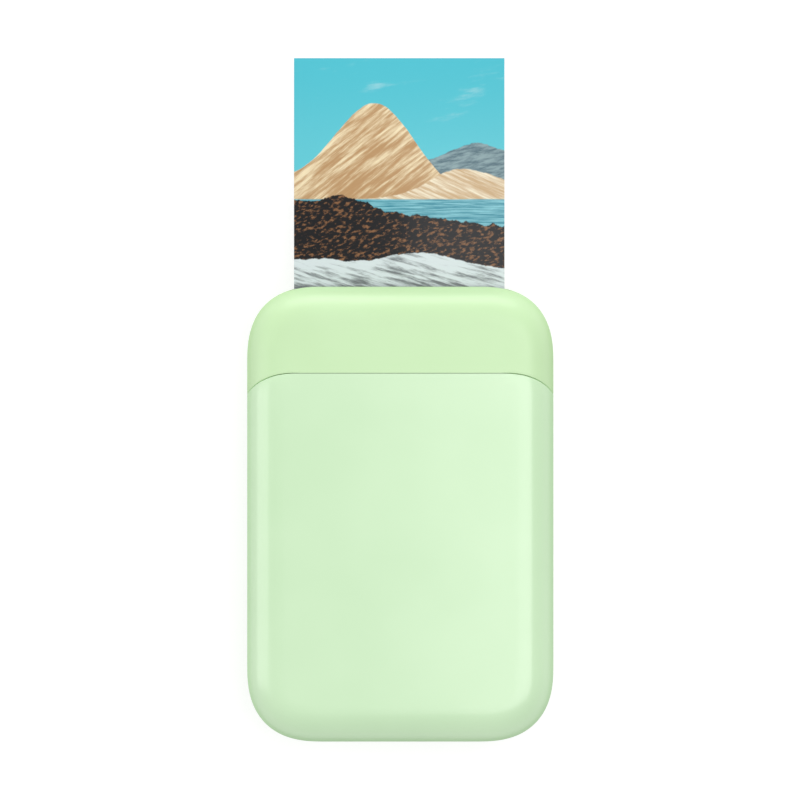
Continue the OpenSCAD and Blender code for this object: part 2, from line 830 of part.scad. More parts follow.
// Steel bar across the side plates that the head springs push against
module head_bridge() color(steel) {
    y = [nip_y - bridge_half, nip_y + bridge_half];
    block(-side_out, side_out, y[0], y[1], bridge_z, bridge_z + bridge_t);
    pair() block(side_in + 0.2, side_out, y[0], y[1], side_plate_z1 + fit, bridge_z + eps);
}

module head_springs() color(steel) for (s = [-1, 1])
    coil([s * head_spring_x, nip_y], sink_z1, bridge_z - sink_z1, 1.6, 0.2, 3);

// Flat flexible lead from the head, over the side plate and back to the board
module head_flex() color("#c98a3a") {
    t = 0.2;
    top = 18.9;
    low = board_top + 0.8;
    flex_w = 4;
    y0 = bezel_y1 + 0.6;
    y1 = y0 + flex_w;
    plug_y0 = 2.5;
    block(flex_end, flex_x, y0, y1, top, top + t);
    block(flex_x - t, flex_x, y0, y1, low, top + t);
    block(flex_x - t, flex_x, plug_y0, y1, low, low + 1.4);
    block(26.2, flex_x, plug_y0, plug_y0 + flex_w, low, low + t);
    block(flex_end, flex_end + t, y0, y1, sink_z1 + flex_play, top + t);
}

// ---------- Electronics ----------

module main_board() color(board_green) difference() {
    block(board_x0, board_x1, board_y0, board_y1, board_z, board_top);
    for (at = board_posts) post(at, screw_hole, board_z - over, board_top + over);
    post(case_at[1], case_boss_r + 0.2, board_z - over, board_top + over);
}

// Radio, memory and power chips on the board: [x, y, width, length, height] of each
module board_chips() color("#26282b") {
    for (chip = [[14, -24, 7, 7, 0.9], [15.2, -12, 5, 6, 0.8], [22, -8, 4, 4, 0.8], [15, -2, 6, 3, 1],
            [23, -28, 3, 3, 0.8], [12, -31, 3, 2, 0.7], [24, -16, 2.4, 4, 1.2]])
        block(chip[0] - chip[2] / 2, chip[0] + chip[2] / 2, chip[1] - chip[3] / 2,
            chip[1] + chip[3] / 2, board_top, board_top + chip[4]);
}

module flex_connector() color("#e6e0cf")
    block(24.6, 28.6, 1.8, 7.2, board_top, board_top + 0.78);

// Power and data socket: a round-ended steel shell with a tongue inside
module usb_socket() color(steel) {
    x0 = 29;
    x1 = 36.2;
    mouth_l = 8.34;
    mouth_h = 2.6;
    shell_t = 0.3;
    difference() {
        side_slot(port_y, port_z, mouth_l + 2 * shell_t, mouth_h + 2 * shell_t, x0, x1);
        side_slot(port_y, port_z, mouth_l, mouth_h, x0 + 1, x1 + over);
    }
    side_slot(port_y, port_z, 6.7, 0.7, x0 + 0.9, x1 - 0.6);
}

module button_switch() color(dark_grey) difference() {
    block(28.6, 32.4, button_y - 2.4, button_y + 2.4, board_top, 10);
    axle([button_y, port_z], plunger_r + 0.1, 31, side_cut);
}

plunger_r = 0.85;
button_x0 = 34.1;
button_x1 = 36.5;
button_rim_t = 0.6;

module button_plunger() color("#8a8d90")
    axle([button_y, port_z], plunger_r, 31.6, button_x0);

// Round-ended key with a rim inside the wall, cut straight where it passes the board
module power_button() color(mint_cap) {
    rim_x1 = button_x0 + button_rim_t;
    side_slot(button_y, port_z, button_l, button_h, rim_x1 - 0.1, button_x1);
    intersection() {
        side_slot(button_y, port_z, button_l + 2 * button_rim, button_h + 1.2, button_x0, rim_x1);
        block(side_cut, body_w / 2, button_y - button_l, button_y + button_l, board_top + 0.15, part_z);
    }
}

module light_pipe() color("#eef4f4") axle([light_y, port_z], light_r, 33.4, button_x1);

battery_x0 = -30.4;
battery_x1 = 3.6;
battery_y0 = -38.4;
battery_y1 = 7.8;
battery_z = floor_z + 0.22;
battery_t = 5.4;

// Lithium polymer pouch
module battery() color("#c5c9cc")
    translate([(battery_x0 + battery_x1) / 2, (battery_y0 + battery_y1) / 2, battery_z])
        linear_extrude(battery_t)
            round_rect(battery_x1 - battery_x0, battery_y1 - battery_y0, 1.5);

module battery_pad() color("#8d9094") block(-24, -2, -34, 4, floor_z + eps, battery_z - eps);

lead_r = 0.45;
lead_z = board_top + lead_r + 0.1;
lead_y = -15.2;
lead_pitch = 1.4;
plug_x0 = 8.42;
plug_half = 2.6;

// Two thin wires from the pouch to the plug on the board
module battery_lead() color("#b03a32")
    for (s = [-1, 1])
        axle([lead_y + s * lead_pitch / 2, lead_z], lead_r, battery_x1 + eps, plug_x0 - fit);

module battery_plug() color("#efece2")
    block(plug_x0, plug_x0 + 3.4, lead_y - plug_half, lead_y + plug_half, board_top, board_top + 2.4);

// ---------- Fasteners ----------

module case_screws() color(steel) {
    pair() for (at = case_at) screw(at, 1.1, 9, head_r, 1.2);
}

bezel_head_r = 1.4;
bezel_head_t = 0.5;

module bezel_screws() color(steel) pair() for (at = bezel_posts)
    translate([at[0], at[1], bezel_z1]) mirror([0, 0, 1]) small_screw(bezel_head_r, bezel_head_t, 4);

// A screw from its face at z = 0 up, with a cross recess
module small_screw(head, head_h, length) {
    difference() {
        union() {
            cylinder(r = head, h = head_h, $fn = round_fn);
            cylinder(r = thread_r, h = length, $fn = round_fn);
        }
        for (turn = [0, 90]) rotate([0, 0, turn]) cube([1.5, 0.3, 0.6], center = true);
    }
}

module board_screws() color(steel) for (at = board_posts)
    translate([at[0], at[1], board_top + 0.6 + fit]) mirror([0, 0, 1]) small_screw(1.5, 0.6, 3);

front_cover();
top_cap();
rear_housing();
foot_ring();
hinge_pin();
exit_guide();
chassis();
tray_bezel();
cover_magnets();
keeper_plates();
pressure_plate();
plate_springs();
paper_stack();
print_sheet();
pick_shaft();
pick_tyres();
pick_gear();
pick_bushings();
platen_shaft();
platen_sleeve();
platen_gear();
drive_gear();
platen_bushings();
idler_gear();
reduction_gear();
gear_pins();
motor_pinion();
motor_can();
motor_flange();
motor_screws();
print_head();
heat_sink();
head_bridge();
head_springs();
head_flex();
main_board();
board_chips();
flex_connector();
usb_socket();
button_switch();
button_plunger();
power_button();
light_pipe();
battery();
battery_pad();
battery_lead();
battery_plug();
case_screws();
bezel_screws();
board_screws();
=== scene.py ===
"""Visual model of a pocket photo printer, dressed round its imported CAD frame.

The printer lies on its back. +Z is out of the front cover and +Y is the way a print leaves.
Sizes in the classes are in millimetres unless a name says otherwise, and meshes are in metres.
"""

from __future__ import annotations

import json
import logging
import math
from collections.abc import Iterable, Sequence
from dataclasses import dataclass, field
from enum import Enum

import bmesh
import bpy
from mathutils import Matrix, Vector


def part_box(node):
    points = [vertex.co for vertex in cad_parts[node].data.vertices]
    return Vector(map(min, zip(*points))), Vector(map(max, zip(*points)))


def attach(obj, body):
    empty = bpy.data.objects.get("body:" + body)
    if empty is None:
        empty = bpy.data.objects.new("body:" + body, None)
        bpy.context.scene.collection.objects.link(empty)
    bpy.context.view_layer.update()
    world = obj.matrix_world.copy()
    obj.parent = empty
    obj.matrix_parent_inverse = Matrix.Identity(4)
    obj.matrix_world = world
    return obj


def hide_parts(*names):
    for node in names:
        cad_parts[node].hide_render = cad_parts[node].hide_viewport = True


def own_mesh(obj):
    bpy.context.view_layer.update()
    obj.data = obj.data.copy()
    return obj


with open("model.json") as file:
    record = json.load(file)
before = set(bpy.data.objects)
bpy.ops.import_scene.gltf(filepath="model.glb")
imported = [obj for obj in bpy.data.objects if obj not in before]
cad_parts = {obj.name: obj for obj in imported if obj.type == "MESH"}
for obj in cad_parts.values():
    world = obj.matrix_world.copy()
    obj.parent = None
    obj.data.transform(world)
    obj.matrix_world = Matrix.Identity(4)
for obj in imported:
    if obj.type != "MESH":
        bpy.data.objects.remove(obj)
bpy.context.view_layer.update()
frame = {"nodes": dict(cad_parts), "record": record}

MM = 0.001
# How far a cutter stands past what it cuts, and a gap too small to see, in millimetres
OVER = 1.0
NEAR = 0.001
# Distances, in metres, under which points count as one
SAME_POINT = 1e-7
SAME_CAD_POINT = 2e-7
SAME_SKIN_POINT = 2e-6
# Degrees between two faces under which they count as one flat face, and past which their edge stays sharp
FLAT = 0.3
SHELL_CREASE = 28.0
PIECE_CREASE = 32.0
log = logging.getLogger("printer")

Point = tuple[float, float]
Colour = tuple[float, float, float]
Corners = tuple[Vector, Vector]
Socket = bpy.types.NodeSocket
Input = Socket | float | int | Sequence[float]


# ---------- Small tools ----------


def linear(colour: Colour) -> tuple[float, float, float, float]:
    """Turn a display colour into the linear one that shaders take.

    Args:
        colour: Red, green and blue from 0 to 255.

    Returns:
        Linear red, green and blue, and an alpha of 1.
    """
    shares = [c / 255 for c in colour]
    bent = [s / 12.92 if s <= 0.04045 else ((s + 0.055) / 1.055) ** 2.4 for s in shares]
    return (bent[0], bent[1], bent[2], 1.0)


def new_object(name: str, mesh: bpy.types.Mesh) -> bpy.types.Object:
    """Put a mesh into the scene.

    Args:
        name: The new object's name.
        mesh: Its mesh, in metres.

    Returns:
        The linked object.
    """
    piece = bpy.data.objects.new(name, mesh)
    bpy.context.scene.collection.objects.link(piece)
    return piece


def solid(name: str, points: Iterable[Sequence[float]], faces: Iterable[Sequence[int]]) -> bpy.types.Object:
    """Make an object from points in millimetres.

    Args:
        name: The new object's name.
        points: Corners as x, y and z in millimetres.
        faces: Corner numbers of each face, in order.

    Returns:
        The linked object, with its normals turned outwards.
    """
    mesh = bpy.data.meshes.new(name)
    mesh.from_pydata([tuple(c * MM for c in p) for p in points], [], [tuple(f) for f in faces])
    form = bmesh.new()
    form.from_mesh(mesh)
    bmesh.ops.remove_doubles(form, verts=form.verts, dist=SAME_POINT)
    bmesh.ops.recalc_face_normals(form, faces=form.faces)
    form.to_mesh(mesh)
    form.free()
    return new_object(name, mesh)


def discard(*pieces: bpy.types.Object) -> None:
    """Remove helper objects and their meshes.

    Args:
        pieces: The helpers.
    """
    for piece in pieces:
        mesh = piece.data
        bpy.data.objects.remove(piece)
        if mesh.users == 0:
            bpy.data.meshes.remove(mesh)


def baked(piece: bpy.types.Object) -> bpy.types.Object:
    """Turn a piece's modifiers into plain mesh.

    Args:
        piece: An object with modifiers.

    Returns:
        The same object, with the result as its mesh and no modifiers.
    """
    graph = bpy.context.evaluated_depsgraph_get()
    graph.update()
    mesh = bpy.data.meshes.new_from_object(piece.evaluated_get(graph), depsgraph=graph)
    old = piece.data
    piece.modifiers.clear()
    piece.data = mesh
    mesh.name = piece.name
    if old.users == 0:
        bpy.data.meshes.remove(old)
    return piece


def boolean(piece: bpy.types.Object, tool: bpy.types.Object, operation: str) -> bpy.types.Object:
    """Combine a piece with a tool solid, which is used up.

    Args:
        piece: The solid that changes.
        tool: The solid that cuts or joins.
        operation: UNION, DIFFERENCE or INTERSECT.

    Returns:
        The changed piece.
    """
    change = piece.modifiers.new("change", "BOOLEAN")
    change.operation = operation
    change.solver = "EXACT"
    change.object = tool
    baked(piece)
    discard(tool)
    return piece


def joined(name: str, pieces: Sequence[bpy.types.Object]) -> bpy.types.Object:
    """Put several meshes into one object, left as separate shells.

    Args:
        name: The new object's name.
        pieces: The objects to gather, which are used up.

    Returns:
        The new object.
    """
    form = bmesh.new()
    for piece in pieces:
        form.from_mesh(piece.data)
    mesh = bpy.data.meshes.new(name)
    form.to_mesh(mesh)
    form.free()
    discard(*pieces)
    return new_object(name, mesh)


def merged_copy(node: str, name: str, whole: bool = True) -> bpy.types.Object:
    """Copy a CAD node's mesh with its loose triangles joined up.

    Args:
        node: The CAD node.
        name: The copy's name.
        whole: Whether flat faces are made whole, which a face with a window in it can't take.

    Returns:
        A closed copy.
    """
    form = bmesh.new()
    form.from_mesh(frame["nodes"][node].data)
    bmesh.ops.remove_doubles(form, verts=form.verts, dist=SAME_CAD_POINT)
    bmesh.ops.dissolve_degenerate(form, edges=form.edges, dist=SAME_POINT)
    if whole:
        bmesh.ops.dissolve_limit(
            form, angle_limit=math.radians(FLAT), use_dissolve_boundaries=False,
            verts=form.verts, edges=form.edges)
    mesh = bpy.data.meshes.new(name)
    form.to_mesh(mesh)
    form.free()
    return new_object(name, mesh)


def solids_of(node: str) -> list[Corners]:
    """List the lowest and highest corner of each solid of a CAD node, in millimetres.

    Args:
        node: The CAD node.

    Returns:
        Both corners of each solid, ordered by X and Y.
    """
    form = bmesh.new()
    form.from_mesh(frame["nodes"][node].data)
    bmesh.ops.remove_doubles(form, verts=form.verts, dist=SAME_CAD_POINT)
    waiting, found = set(form.verts), []
    while waiting:
        edge = [waiting.pop()]
        spots = []
        while edge:
            vert = edge.pop()
            spots.append(vert.co / MM)
            linked = {link.other_vert(vert) for link in vert.link_edges} & waiting
            waiting -= linked
            edge.extend(linked)
        low, high = (Vector([pick(spot[k] for spot in spots) for k in range(3)]) for pick in (min, max))
        found.append((low, high))
    form.free()
    return sorted(found, key=lambda box: tuple(round(c, 2) for c in box[0]))


def smooth(piece: bpy.types.Object, angle: float = 30.0) -> bpy.types.Object:
    """Shade a piece smooth, apart from edges sharper than an angle.

    Args:
        piece: The object to shade.
        angle: Degrees between two faces past which their edge stays sharp.

    Returns:
        The same object.
    """
    piece.data.polygons.foreach_set("use_smooth", [True] * len(piece.data.polygons))
    piece.data.set_sharp_from_angle(angle=math.radians(angle))
    return piece


def softened(piece: bpy.types.Object, width: float, segments: int = 2,
             angle: float = 40.0) -> bpy.types.Object:
    """Round a piece's edges a little.

    Args:
        piece: The object to change.
        width: Width of the rounding in millimetres.
        segments: Faces across it.
        angle: Degrees between two faces past which their edge is rounded.

    Returns:
        The same object, with the rounding in its mesh.
    """
    bevel = piece.modifiers.new("edges", "BEVEL")
    bevel.width = width * MM
    bevel.segments = segments
    bevel.limit_method = "ANGLE"
    bevel.angle_limit = math.radians(angle)
    bevel.use_clamp_overlap = True
    bevel.miter_outer = "MITER_ARC"
    return baked(piece)


# ---------- The body's form ----------


@dataclass(frozen=True)
class Outline:
    """Plan of the body: a rectangle whose corners are soft arcs that ease into the sides."""

    half_w: float = 37.0
    half_l: float = 55.0
    reach: float = 18.2
    power: float = 2.5

    def side_end(self) -> float:
        """Height along Y at which a straight side turns into its corner."""
        return self.half_l - self.reach

    def corner(self, share: float, inset: float) -> Point:
        """Find a point on the +X +Y corner.

        Args:
            share: 0 at the side, 1 at the end wall.
            inset: Distance inside the outline.

        Returns:
            The point as x and y.
        """
        turn = share * math.pi / 2
        c, s = max(math.cos(turn), 0.0), max(math.sin(turn), 0.0)
        x, y = c ** (2 / self.power), s ** (2 / self.power)
        nx, ny = x ** (self.power - 1), y ** (self.power - 1)
        size = math.hypot(nx, ny)
        return (
            self.half_w - self.reach + self.reach * x - inset * nx / size,
            self.half_l - self.reach + self.reach * y - inset * ny / size,
        )

    def quarter(self, start_y: float, inset: float, steps: int, bends: int) -> list[Point]:
        """List a run up the right side and round its corner.

        Args:
            start_y: Where on the side the run starts.
            inset: Distance inside the outline.
            steps: Pieces along the side.
            bends: Pieces round the corner.

        Returns:
            Points from the side's start to the corner's end.
        """
        side = self.half_w - inset
        top = self.side_end()
        run = [(side, start_y + (top - start_y) * i / steps) for i in range(steps)]
        return run + [self.corner(i / bends, inset) for i in range(bends + 1)]


@dataclass(frozen=True)
class Roll:
    """Rolled edge of a shell, in section: it leaves the parting line upright and eases into the face."""

    width: float
    rise: float
    base: float
    way: int
    power: float = 2.5
    steps: int = 16

    def at(self, share: float) -> Point:
        """Find a place on the roll.

        Args:
            share: 0 at the parting line, 1 at the flat face.

        Returns:
            Distance inside the outline, and height.
        """
        turn = share * math.pi / 2
        inset = self.width * (1 - max(math.cos(turn), 0.0) ** (2 / self.power))
        return inset, self.base + self.way * self.rise * math.sin(turn) ** (2 / self.power)

    def start(self, rim: float) -> float:
        """Find the share at which the roll crosses a rim.

        Args:
            rim: Height of the shell's rim.

        Returns:
            The share there.
        """
        lift = abs(rim - self.base) / self.rise
        return math.asin(lift ** (self.power / 2)) / (math.pi / 2)

    def places(self, rim: float) -> list[Point]:
        """List the roll's rings from a rim to the flat face, as inset and height."""
        first = self.start(rim)
        return [self.at(first + (1 - first) * i / self.steps) for i in range(self.steps + 1)]

    def drawn_in(self, rim: float, depth: float) -> list[Point]:
        """List the roll's rings moved inwards at right angles to the surface.

        Args:
            rim: Height of the shell's rim.
            depth: How far they move.

        Returns:
            Inset and height of each ring.
        """
        rings = self.places(rim)
        moved = []
        for i, (inset, height) in enumerate(rings):
            before, after = rings[max(i - 1, 0)], rings[min(i + 1, len(rings) - 1)]
            run, climb = after[0] - before[0], after[1] - before[1]
            size = math.hypot(run, climb)
            if i == 0:
                run, climb, size = 0.0, float(self.way), 1.0
            if i == len(rings) - 1:
                run, climb, size = 1.0, 0.0, 1.0
            moved.append((inset + depth * abs(climb) / size, height - self.way * depth * run / size))
        return moved


@dataclass(frozen=True)
class Seam:
    """Line between the cover and the cap, seen from the front."""

    y: float = 33.9
    half: float = 25.5
    reach: float = 12.65
    drop: float = 5.0
    edge: float = 37.0

    def at(self, x: float) -> float:
        """Find the seam's place along Y at a place across the body.

        Args:
            x: The place across the body.

        Returns:
            The seam's Y.
        """
        fall = self.drop / (1 - math.sqrt(1 - ((self.edge - self.half) / self.reach) ** 2))
        past = max(0.0, abs(x) - self.half) / self.reach
        return self.y - fall * (1 - math.sqrt(1 - past**2))


Row = list[Vector]


def patch(left: Row, bottom: Row, right: Row, top: Row) -> list[Row]:
    """Fill a four-sided gap with rows of points.

    Args:
        left: Points of the left side, from the bottom up.
        bottom: Points of the bottom side, from left to right.
        right: Points of the right side, from the bottom up.
        top: Points of the top side, from left to right.

    Returns:
        Rows from the bottom to the top, with the sides as their ends.
    """
    rows = []
    tall, wide = len(left) - 1, len(bottom) - 1
    for j in range(tall + 1):
        v = j / tall
        row = []
        for i in range(wide + 1):
            u = i / wide
            across = left[j].lerp(right[j], u)
            along = bottom[i].lerp(top[i], v)
            low = bottom[0].lerp(bottom[-1], u)
            high = top[0].lerp(top[-1], u)
            row.append(across + along - low.lerp(high, v))
        rows.append(row)
    return rows


class Skin:
    """Faces of one surface, gathered in rows and then joined into a mesh."""

    def __init__(self) -> None:
        """Start with no faces."""
        self.form = bmesh.new()

    def add(self, rows: list[Row]) -> None:
        """Lay a sheet of four-sided faces over rows of points in millimetres.

        Args:
            rows: Rows of equal length, one behind the other.
        """
        grid = [[self.form.verts.new(p * MM) for p in row] for row in rows]
        for low, high in zip(grid, grid[1:]):
            for i in range(len(low) - 1):
                self.form.faces.new((low[i], low[i + 1], high[i + 1], high[i]))

    def shell(self, name: str, wall: float, way: int, rounding: float) -> bpy.types.Object:
        """Give the surface a wall and rounded rims.

        Args:
            name: The new object's name.
            wall: Thickness in millimetres.
            way: 1 where the outside faces up, -1 where it faces down.
            rounding: Radius of the outer rims in millimetres.

        Returns:
            The closed shell.
        """
        form = self.form
        bmesh.ops.remove_doubles(form, verts=form.verts, dist=SAME_SKIN_POINT)
        bmesh.ops.recalc_face_normals(form, faces=form.faces)
        tilt = sum(f.normal.z * f.calc_area() for f in form.faces)
        if tilt * way < 0:
            bmesh.ops.reverse_faces(form, faces=form.faces)
        form.normal_update()
        outer = list(form.verts)
        rim = [e for e in form.edges if e.is_boundary]
        low = min(v.co.z * way for v in outer)
        twin = {}
        for v in outer:
            normal = v.normal.copy()
            if abs(v.co.z * way - low) < NEAR * MM:
                normal.z = 0
                normal.normalize()
            twin[v] = form.verts.new(v.co - normal * wall * MM)
        for f in list(form.faces):
            form.faces.new([twin[v] for v in reversed(f.verts)])
        for e in rim:
            loop = e.link_loops[0]
            a, b = loop.vert, loop.link_loop_next.vert
            form.faces.new((b, a, twin[a], twin[b]))
        bmesh.ops.bevel(
            form, geom=rim, offset=rounding * MM, segments=3, profile=0.5,
            affect="EDGES", clamp_overlap=True)
        mesh = bpy.data.meshes.new(name)
        form.to_mesh(mesh)
        form.free()
        return new_object(name, mesh)


def bridge(a: Point, b: Point, steps: int) -> list[Point]:
    """List the points between two ends of a straight run, without the ends."""
    return [(a[0] + (b[0] - a[0]) * i / steps, a[1] + (b[1] - a[1]) * i / steps) for i in range(1, steps)]


def raised(points: Iterable[Point], z: float) -> Row:
    """Lift plan points to a height."""
    return [Vector((x, y, z)) for x, y in points]


def prism(name: str, outline: Sequence[Point], z0: float, z1: float) -> bpy.types.Object:
    """Make a solid from an outline.

    Args:
        name: The new object's name.
        outline: Corners as x and y in millimetres.
        z0: Its lowest height.
        z1: Its highest height.

    Returns:
        The closed solid.
    """
    n = len(outline)
    points = [(x, y, z) for z in (z0, z1) for x, y in outline]
    sides = [(i, (i + 1) % n, n + (i + 1) % n, n + i) for i in range(n)]
    return solid(name, points, [*sides, tuple(range(n)), tuple(range(n, 2 * n))])


def lofted(name: str, loops: Sequence[Row]) -> bpy.types.Object:
    """Make a solid from closed loops of equal length, with flat ends.

    Args:
        name: The new object's name.
        loops: The loops from one end to the other.

    Returns:
        The closed solid.
    """
    n = len(loops[0])
    points = [tuple(p) for loop in loops for p in loop]
    sides = [
        (k * n + i, k * n + (i + 1) % n, (k + 1) * n + (i + 1) % n, (k + 1) * n + i)
        for k in range(len(loops) - 1) for i in range(n)]
    last = (len(loops) - 1) * n
    return solid(name, points, [*sides, tuple(range(n)), tuple(range(last, last + n))])


def circle(radius: float, steps: int, x: float = 0.0, y: float = 0.0) -> list[Point]:
    """List the corners of a round outline.

    Args:
        radius: Its radius.
        steps: How many corners it has.
        x: Its middle across.
        y: Its middle along.

    Returns:
        Its points, in order.
    """
    turns = (2 * math.pi * i / steps for i in range(steps))
    return [(x + radius * math.cos(a), y + radius * math.sin(a)) for a in turns]


def round_rect(width: float, length: float, radius: float, steps: int = 8) -> list[Point]:
    """List the outline of a rounded rectangle about the origin.

    Args:
        width: Size along X.
        length: Size along Y.
        radius: Radius of its corners.
        steps: Pieces round each corner.

    Returns:
        Its points, in order.
    """
    points = []
    for q, (sx, sy) in enumerate(((1, 1), (-1, 1), (-1, -1), (1, -1))):
        for i in range(steps + 1):
            a = math.pi / 2 * (q + i / steps)
            points.append((
                sx * (width / 2 - radius) + radius * math.cos(a),
                sy * (length / 2 - radius) + radius * math.sin(a)))
    return points


@dataclass(frozen=True)
class Opening:
    """A round-ended hole through a side wall, with a fine chamfer at its mouth."""

    y: float
    z: float
    length: float
    height: float
    inner_x: float = 33.0
    outer_x: float = 38.0
    chamfer: float = 0.25
    slack: float = 0.03
    bends: int = 12

    def cutter(self, name: str, face_x: float) -> bpy.types.Object:
        """Make the solid that cuts the hole.

        Args:
            name: The cutter's name.
            face_x: Where the wall's outer face is.

        Returns:
            A closed solid that widens from the wall's face outwards.
        """
        loops = []
        stops = [
            (self.inner_x, 0.0), (face_x - self.chamfer, 0.0), (face_x, self.chamfer),
            (self.outer_x, self.chamfer + self.outer_x - face_x)]
        for x, grow in stops:
            extra = 2 * (grow + self.slack)
            high = self.height + extra
            plan = round_rect(self.length + extra, high, high / 2 - NEAR, self.bends)
            loops.append([Vector((x, self.y + u, self.z + v)) for u, v in plan])
        return lofted(name, loops)


@dataclass(frozen=True)
class Casing:
    """The three outer shells: glossy hinged cover, fixed cap with the paper slot, and rear housing."""

    outline: Outline = Outline()
    seam: Seam = Seam()
    front: Roll = Roll(width=9.0, rise=11.0, base=12.0, way=1)
    back: Roll = Roll(width=9.0, rise=11.5, base=12.0, way=-1)
    # Open gaps between the shells, all round and at the seam, and the rims' own clearance
    gap: float = 0.2
    seam_gap: float = 0.12
    rim_slack: float = 0.005
    wall: float = 1.3
    rounding: float = 0.22
    # Space that a CAD node's inner side is taken from: its depth under the skin, inset, slack and reach
    core_depth: float = 0.65
    core_inset: float = 0.02
    core_slack: float = 0.02
    core_reach: float = 7.0
    # Faces along the sides, half a corner and the ends
    sides: int = 22
    cap_sides: int = 5
    half_bends: int = 12
    ends: int = 14
    # Hinge barrel, the lip cut away behind it, and the X where a cover's knuckle starts and ends
    barrel_y: float = -53.1
    barrel_r: float = 1.9
    barrel_half: float = 29.3
    barrel_steps: int = 48
    lip_slack: float = 0.3
    relief: float = 2.3
    knuckles: Point = (16.1, 21.1)
    # Paper slot, with the Y of each step of its mouth and how far it widens there
    slot_half: float = 26.7
    slot_low: float = 13.2
    slot_high: float = 15.2
    mouth: tuple[Point, ...] = ((51.0, 0.0), (54.8, 0.0), (55.0, 0.15), (56.0, 0.9))
    # Groove for the foot ring
    foot_w: float = 56.0
    foot_l: float = 92.0
    foot_band: float = 3.0
    foot_r: float = 9.0
    foot_depth: float = 1.1
    foot_slack: float = 0.16
    foot_bends: int = 12
    # Wells of the case screws
    screws: tuple[Point, ...] = ((30.0, -42.5), (30.0, 10.6))
    screw_r: float = 1.83
    well_top: float = 2.5
    well_steps: int = 40
    holes: tuple[Opening, ...] = (
        Opening(y=-24.0, z=8.2, length=9.6, height=3.8),
        Opening(y=-4.0, z=8.2, length=9.3, height=3.9),
        Opening(y=6.0, z=8.2, length=1.9, height=1.9, chamfer=0.1),
    )

    def arc(self, sx: int, sy: int, first: float, last: float, inset: float) -> list[Point]:
        """List the points of half a corner.

        Args:
            sx: Sign of the corner's X.
            sy: Sign of the corner's Y.
            first: Share of the corner where it starts.
            last: Share where it ends.
            inset: Distance inside the outline.

        Returns:
            Its points, both ends included.
        """
        points = []
        for i in range(self.half_bends + 1):
            x, y = self.outline.corner(first + (last - first) * i / self.half_bends, inset)
            points.append((sx * x, sy * y))
        return points

    def run(self, a: list[Point], b: list[Point], steps: int) -> list[Point]:
        """Join two half corners by a straight run."""
        return a + bridge(a[-1], b[0], steps) + b

    def four_sides(self, inset: float) -> list[list[Point]]:
        """List the outline's bottom, right, top and left, in order round it.

        Args:
            inset: Distance inside the outline.

        Returns:
            The points of each side, its two half corners included.
        """
        return [
            self.run(self.arc(-1, -1, 0.5, 1, inset), self.arc(1, -1, 1, 0.5, inset), self.ends),
            self.run(self.arc(1, -1, 0.5, 0, inset), self.arc(1, 1, 0, 0.5, inset), self.sides),
            self.run(self.arc(1, 1, 0.5, 1, inset), self.arc(-1, 1, 1, 0.5, inset), self.ends),
            self.run(self.arc(-1, 1, 0.5, 0, inset), self.arc(-1, -1, 0, 0.5, inset), self.sides),
        ]

    def loop(self, inset: float, z: float) -> Row:
        """List one closed ring of the body at a height."""
        return raised((p for side in self.four_sides(inset) for p in side[:-1]), z)

    def open_run(self, inset: float, way: int, shift: float, steps: int) -> list[list[Point]]:
        """List the part of a ring on one side of the seam.

        Args:
            inset: Distance inside the outline.
            way: 1 for the cap's side, -1 for the cover's.
            shift: How far the shell's edge stands off the seam.
            steps: Pieces along each straight side.

        Returns:
            The left side, the end and the right side, from the seam round to the seam.
        """
        side = self.outline.half_w - inset
        start = self.seam.at(side) + way * shift
        left = [(-side, start)]
        corner = self.arc(-1, way, 0, 0.5, inset)
        left += bridge(left[0], corner[0], steps) + corner
        end = self.run(self.arc(-1, way, 0.5, 1, inset), self.arc(1, way, 1, 0.5, inset), self.ends)
        right = [(-x, y) for x, y in reversed(left)]
        return [left, end, right]

    def front_shell(self, name: str, way: int, steps: int) -> bpy.types.Object:
        """Make the cover or the cap as a plain shell.

        Args:
            name: The new object's name.
            way: 1 for the cap, -1 for the cover.
            steps: Pieces along each straight side.

        Returns:
            The closed shell.
        """
        skin = Skin()
        shift = self.seam_gap / 2
        rim = self.front.base + self.rim_slack
        if way < 0:
            rim = self.front.base + self.gap / 2 + self.rim_slack
        rows = []
        for inset, z in self.front.places(rim):
            left, end, right = self.open_run(inset, way, shift, steps)
            rows.append(raised(left[:-1] + end[:-1] + right, z))
        skin.add(rows)
        inset, z = self.front.places(rim)[-1]
        left, end, right = (raised(part, z) for part in self.open_run(inset, way, shift, steps))
        half = self.outline.half_w - inset
        count = len(end) - 1
        across = [half * (2 * i / count - 1) for i in range(count + 1)]
        seam = [Vector((x, self.seam.at(x) + way * shift, z)) for x in across]
        if way < 0:
            skin.add(patch(left[::-1], end, right, seam))
        else:
            skin.add(patch(left, seam, right[::-1], end))
        return skin.shell(name, self.wall, 1, self.rounding)

    def back_shell(self, name: str) -> bpy.types.Object:
        """Make the rear housing as a plain shell with its rim up.

        Args:
            name: The new object's name.

        Returns:
            The closed shell.
        """
        skin = Skin()
        places = self.back.places(self.back.base - self.gap / 2 - self.rim_slack)
        rows = [self.loop(inset, z) for inset, z in places]
        skin.add([row + row[:1] for row in rows])
        inset, z = places[-1]
        low, right, high, left = (raised(side, z) for side in self.four_sides(inset))
        skin.add(patch(left[::-1], low, right, high[::-1]))
        return skin.shell(name, self.wall, -1, self.rounding)

    def core(self, name: str, roll: Roll) -> bpy.types.Object:
        """Make the space that holds a shell's inner side and fittings.

        Args:
            name: The new object's name.
            roll: The rolled edge of that shell.

        Returns:
            A closed solid that stays inside the visible wall.
        """
        line = roll.base + roll.way * (self.gap / 2 + self.core_slack)
        foot = roll.base - roll.way * self.core_reach
        loops = [self.loop(self.core_inset, z) for z in (foot, line)]
        rings = roll.drawn_in(line, self.core_depth)
        return lofted(name, loops + [self.loop(inset, z) for inset, z in rings])

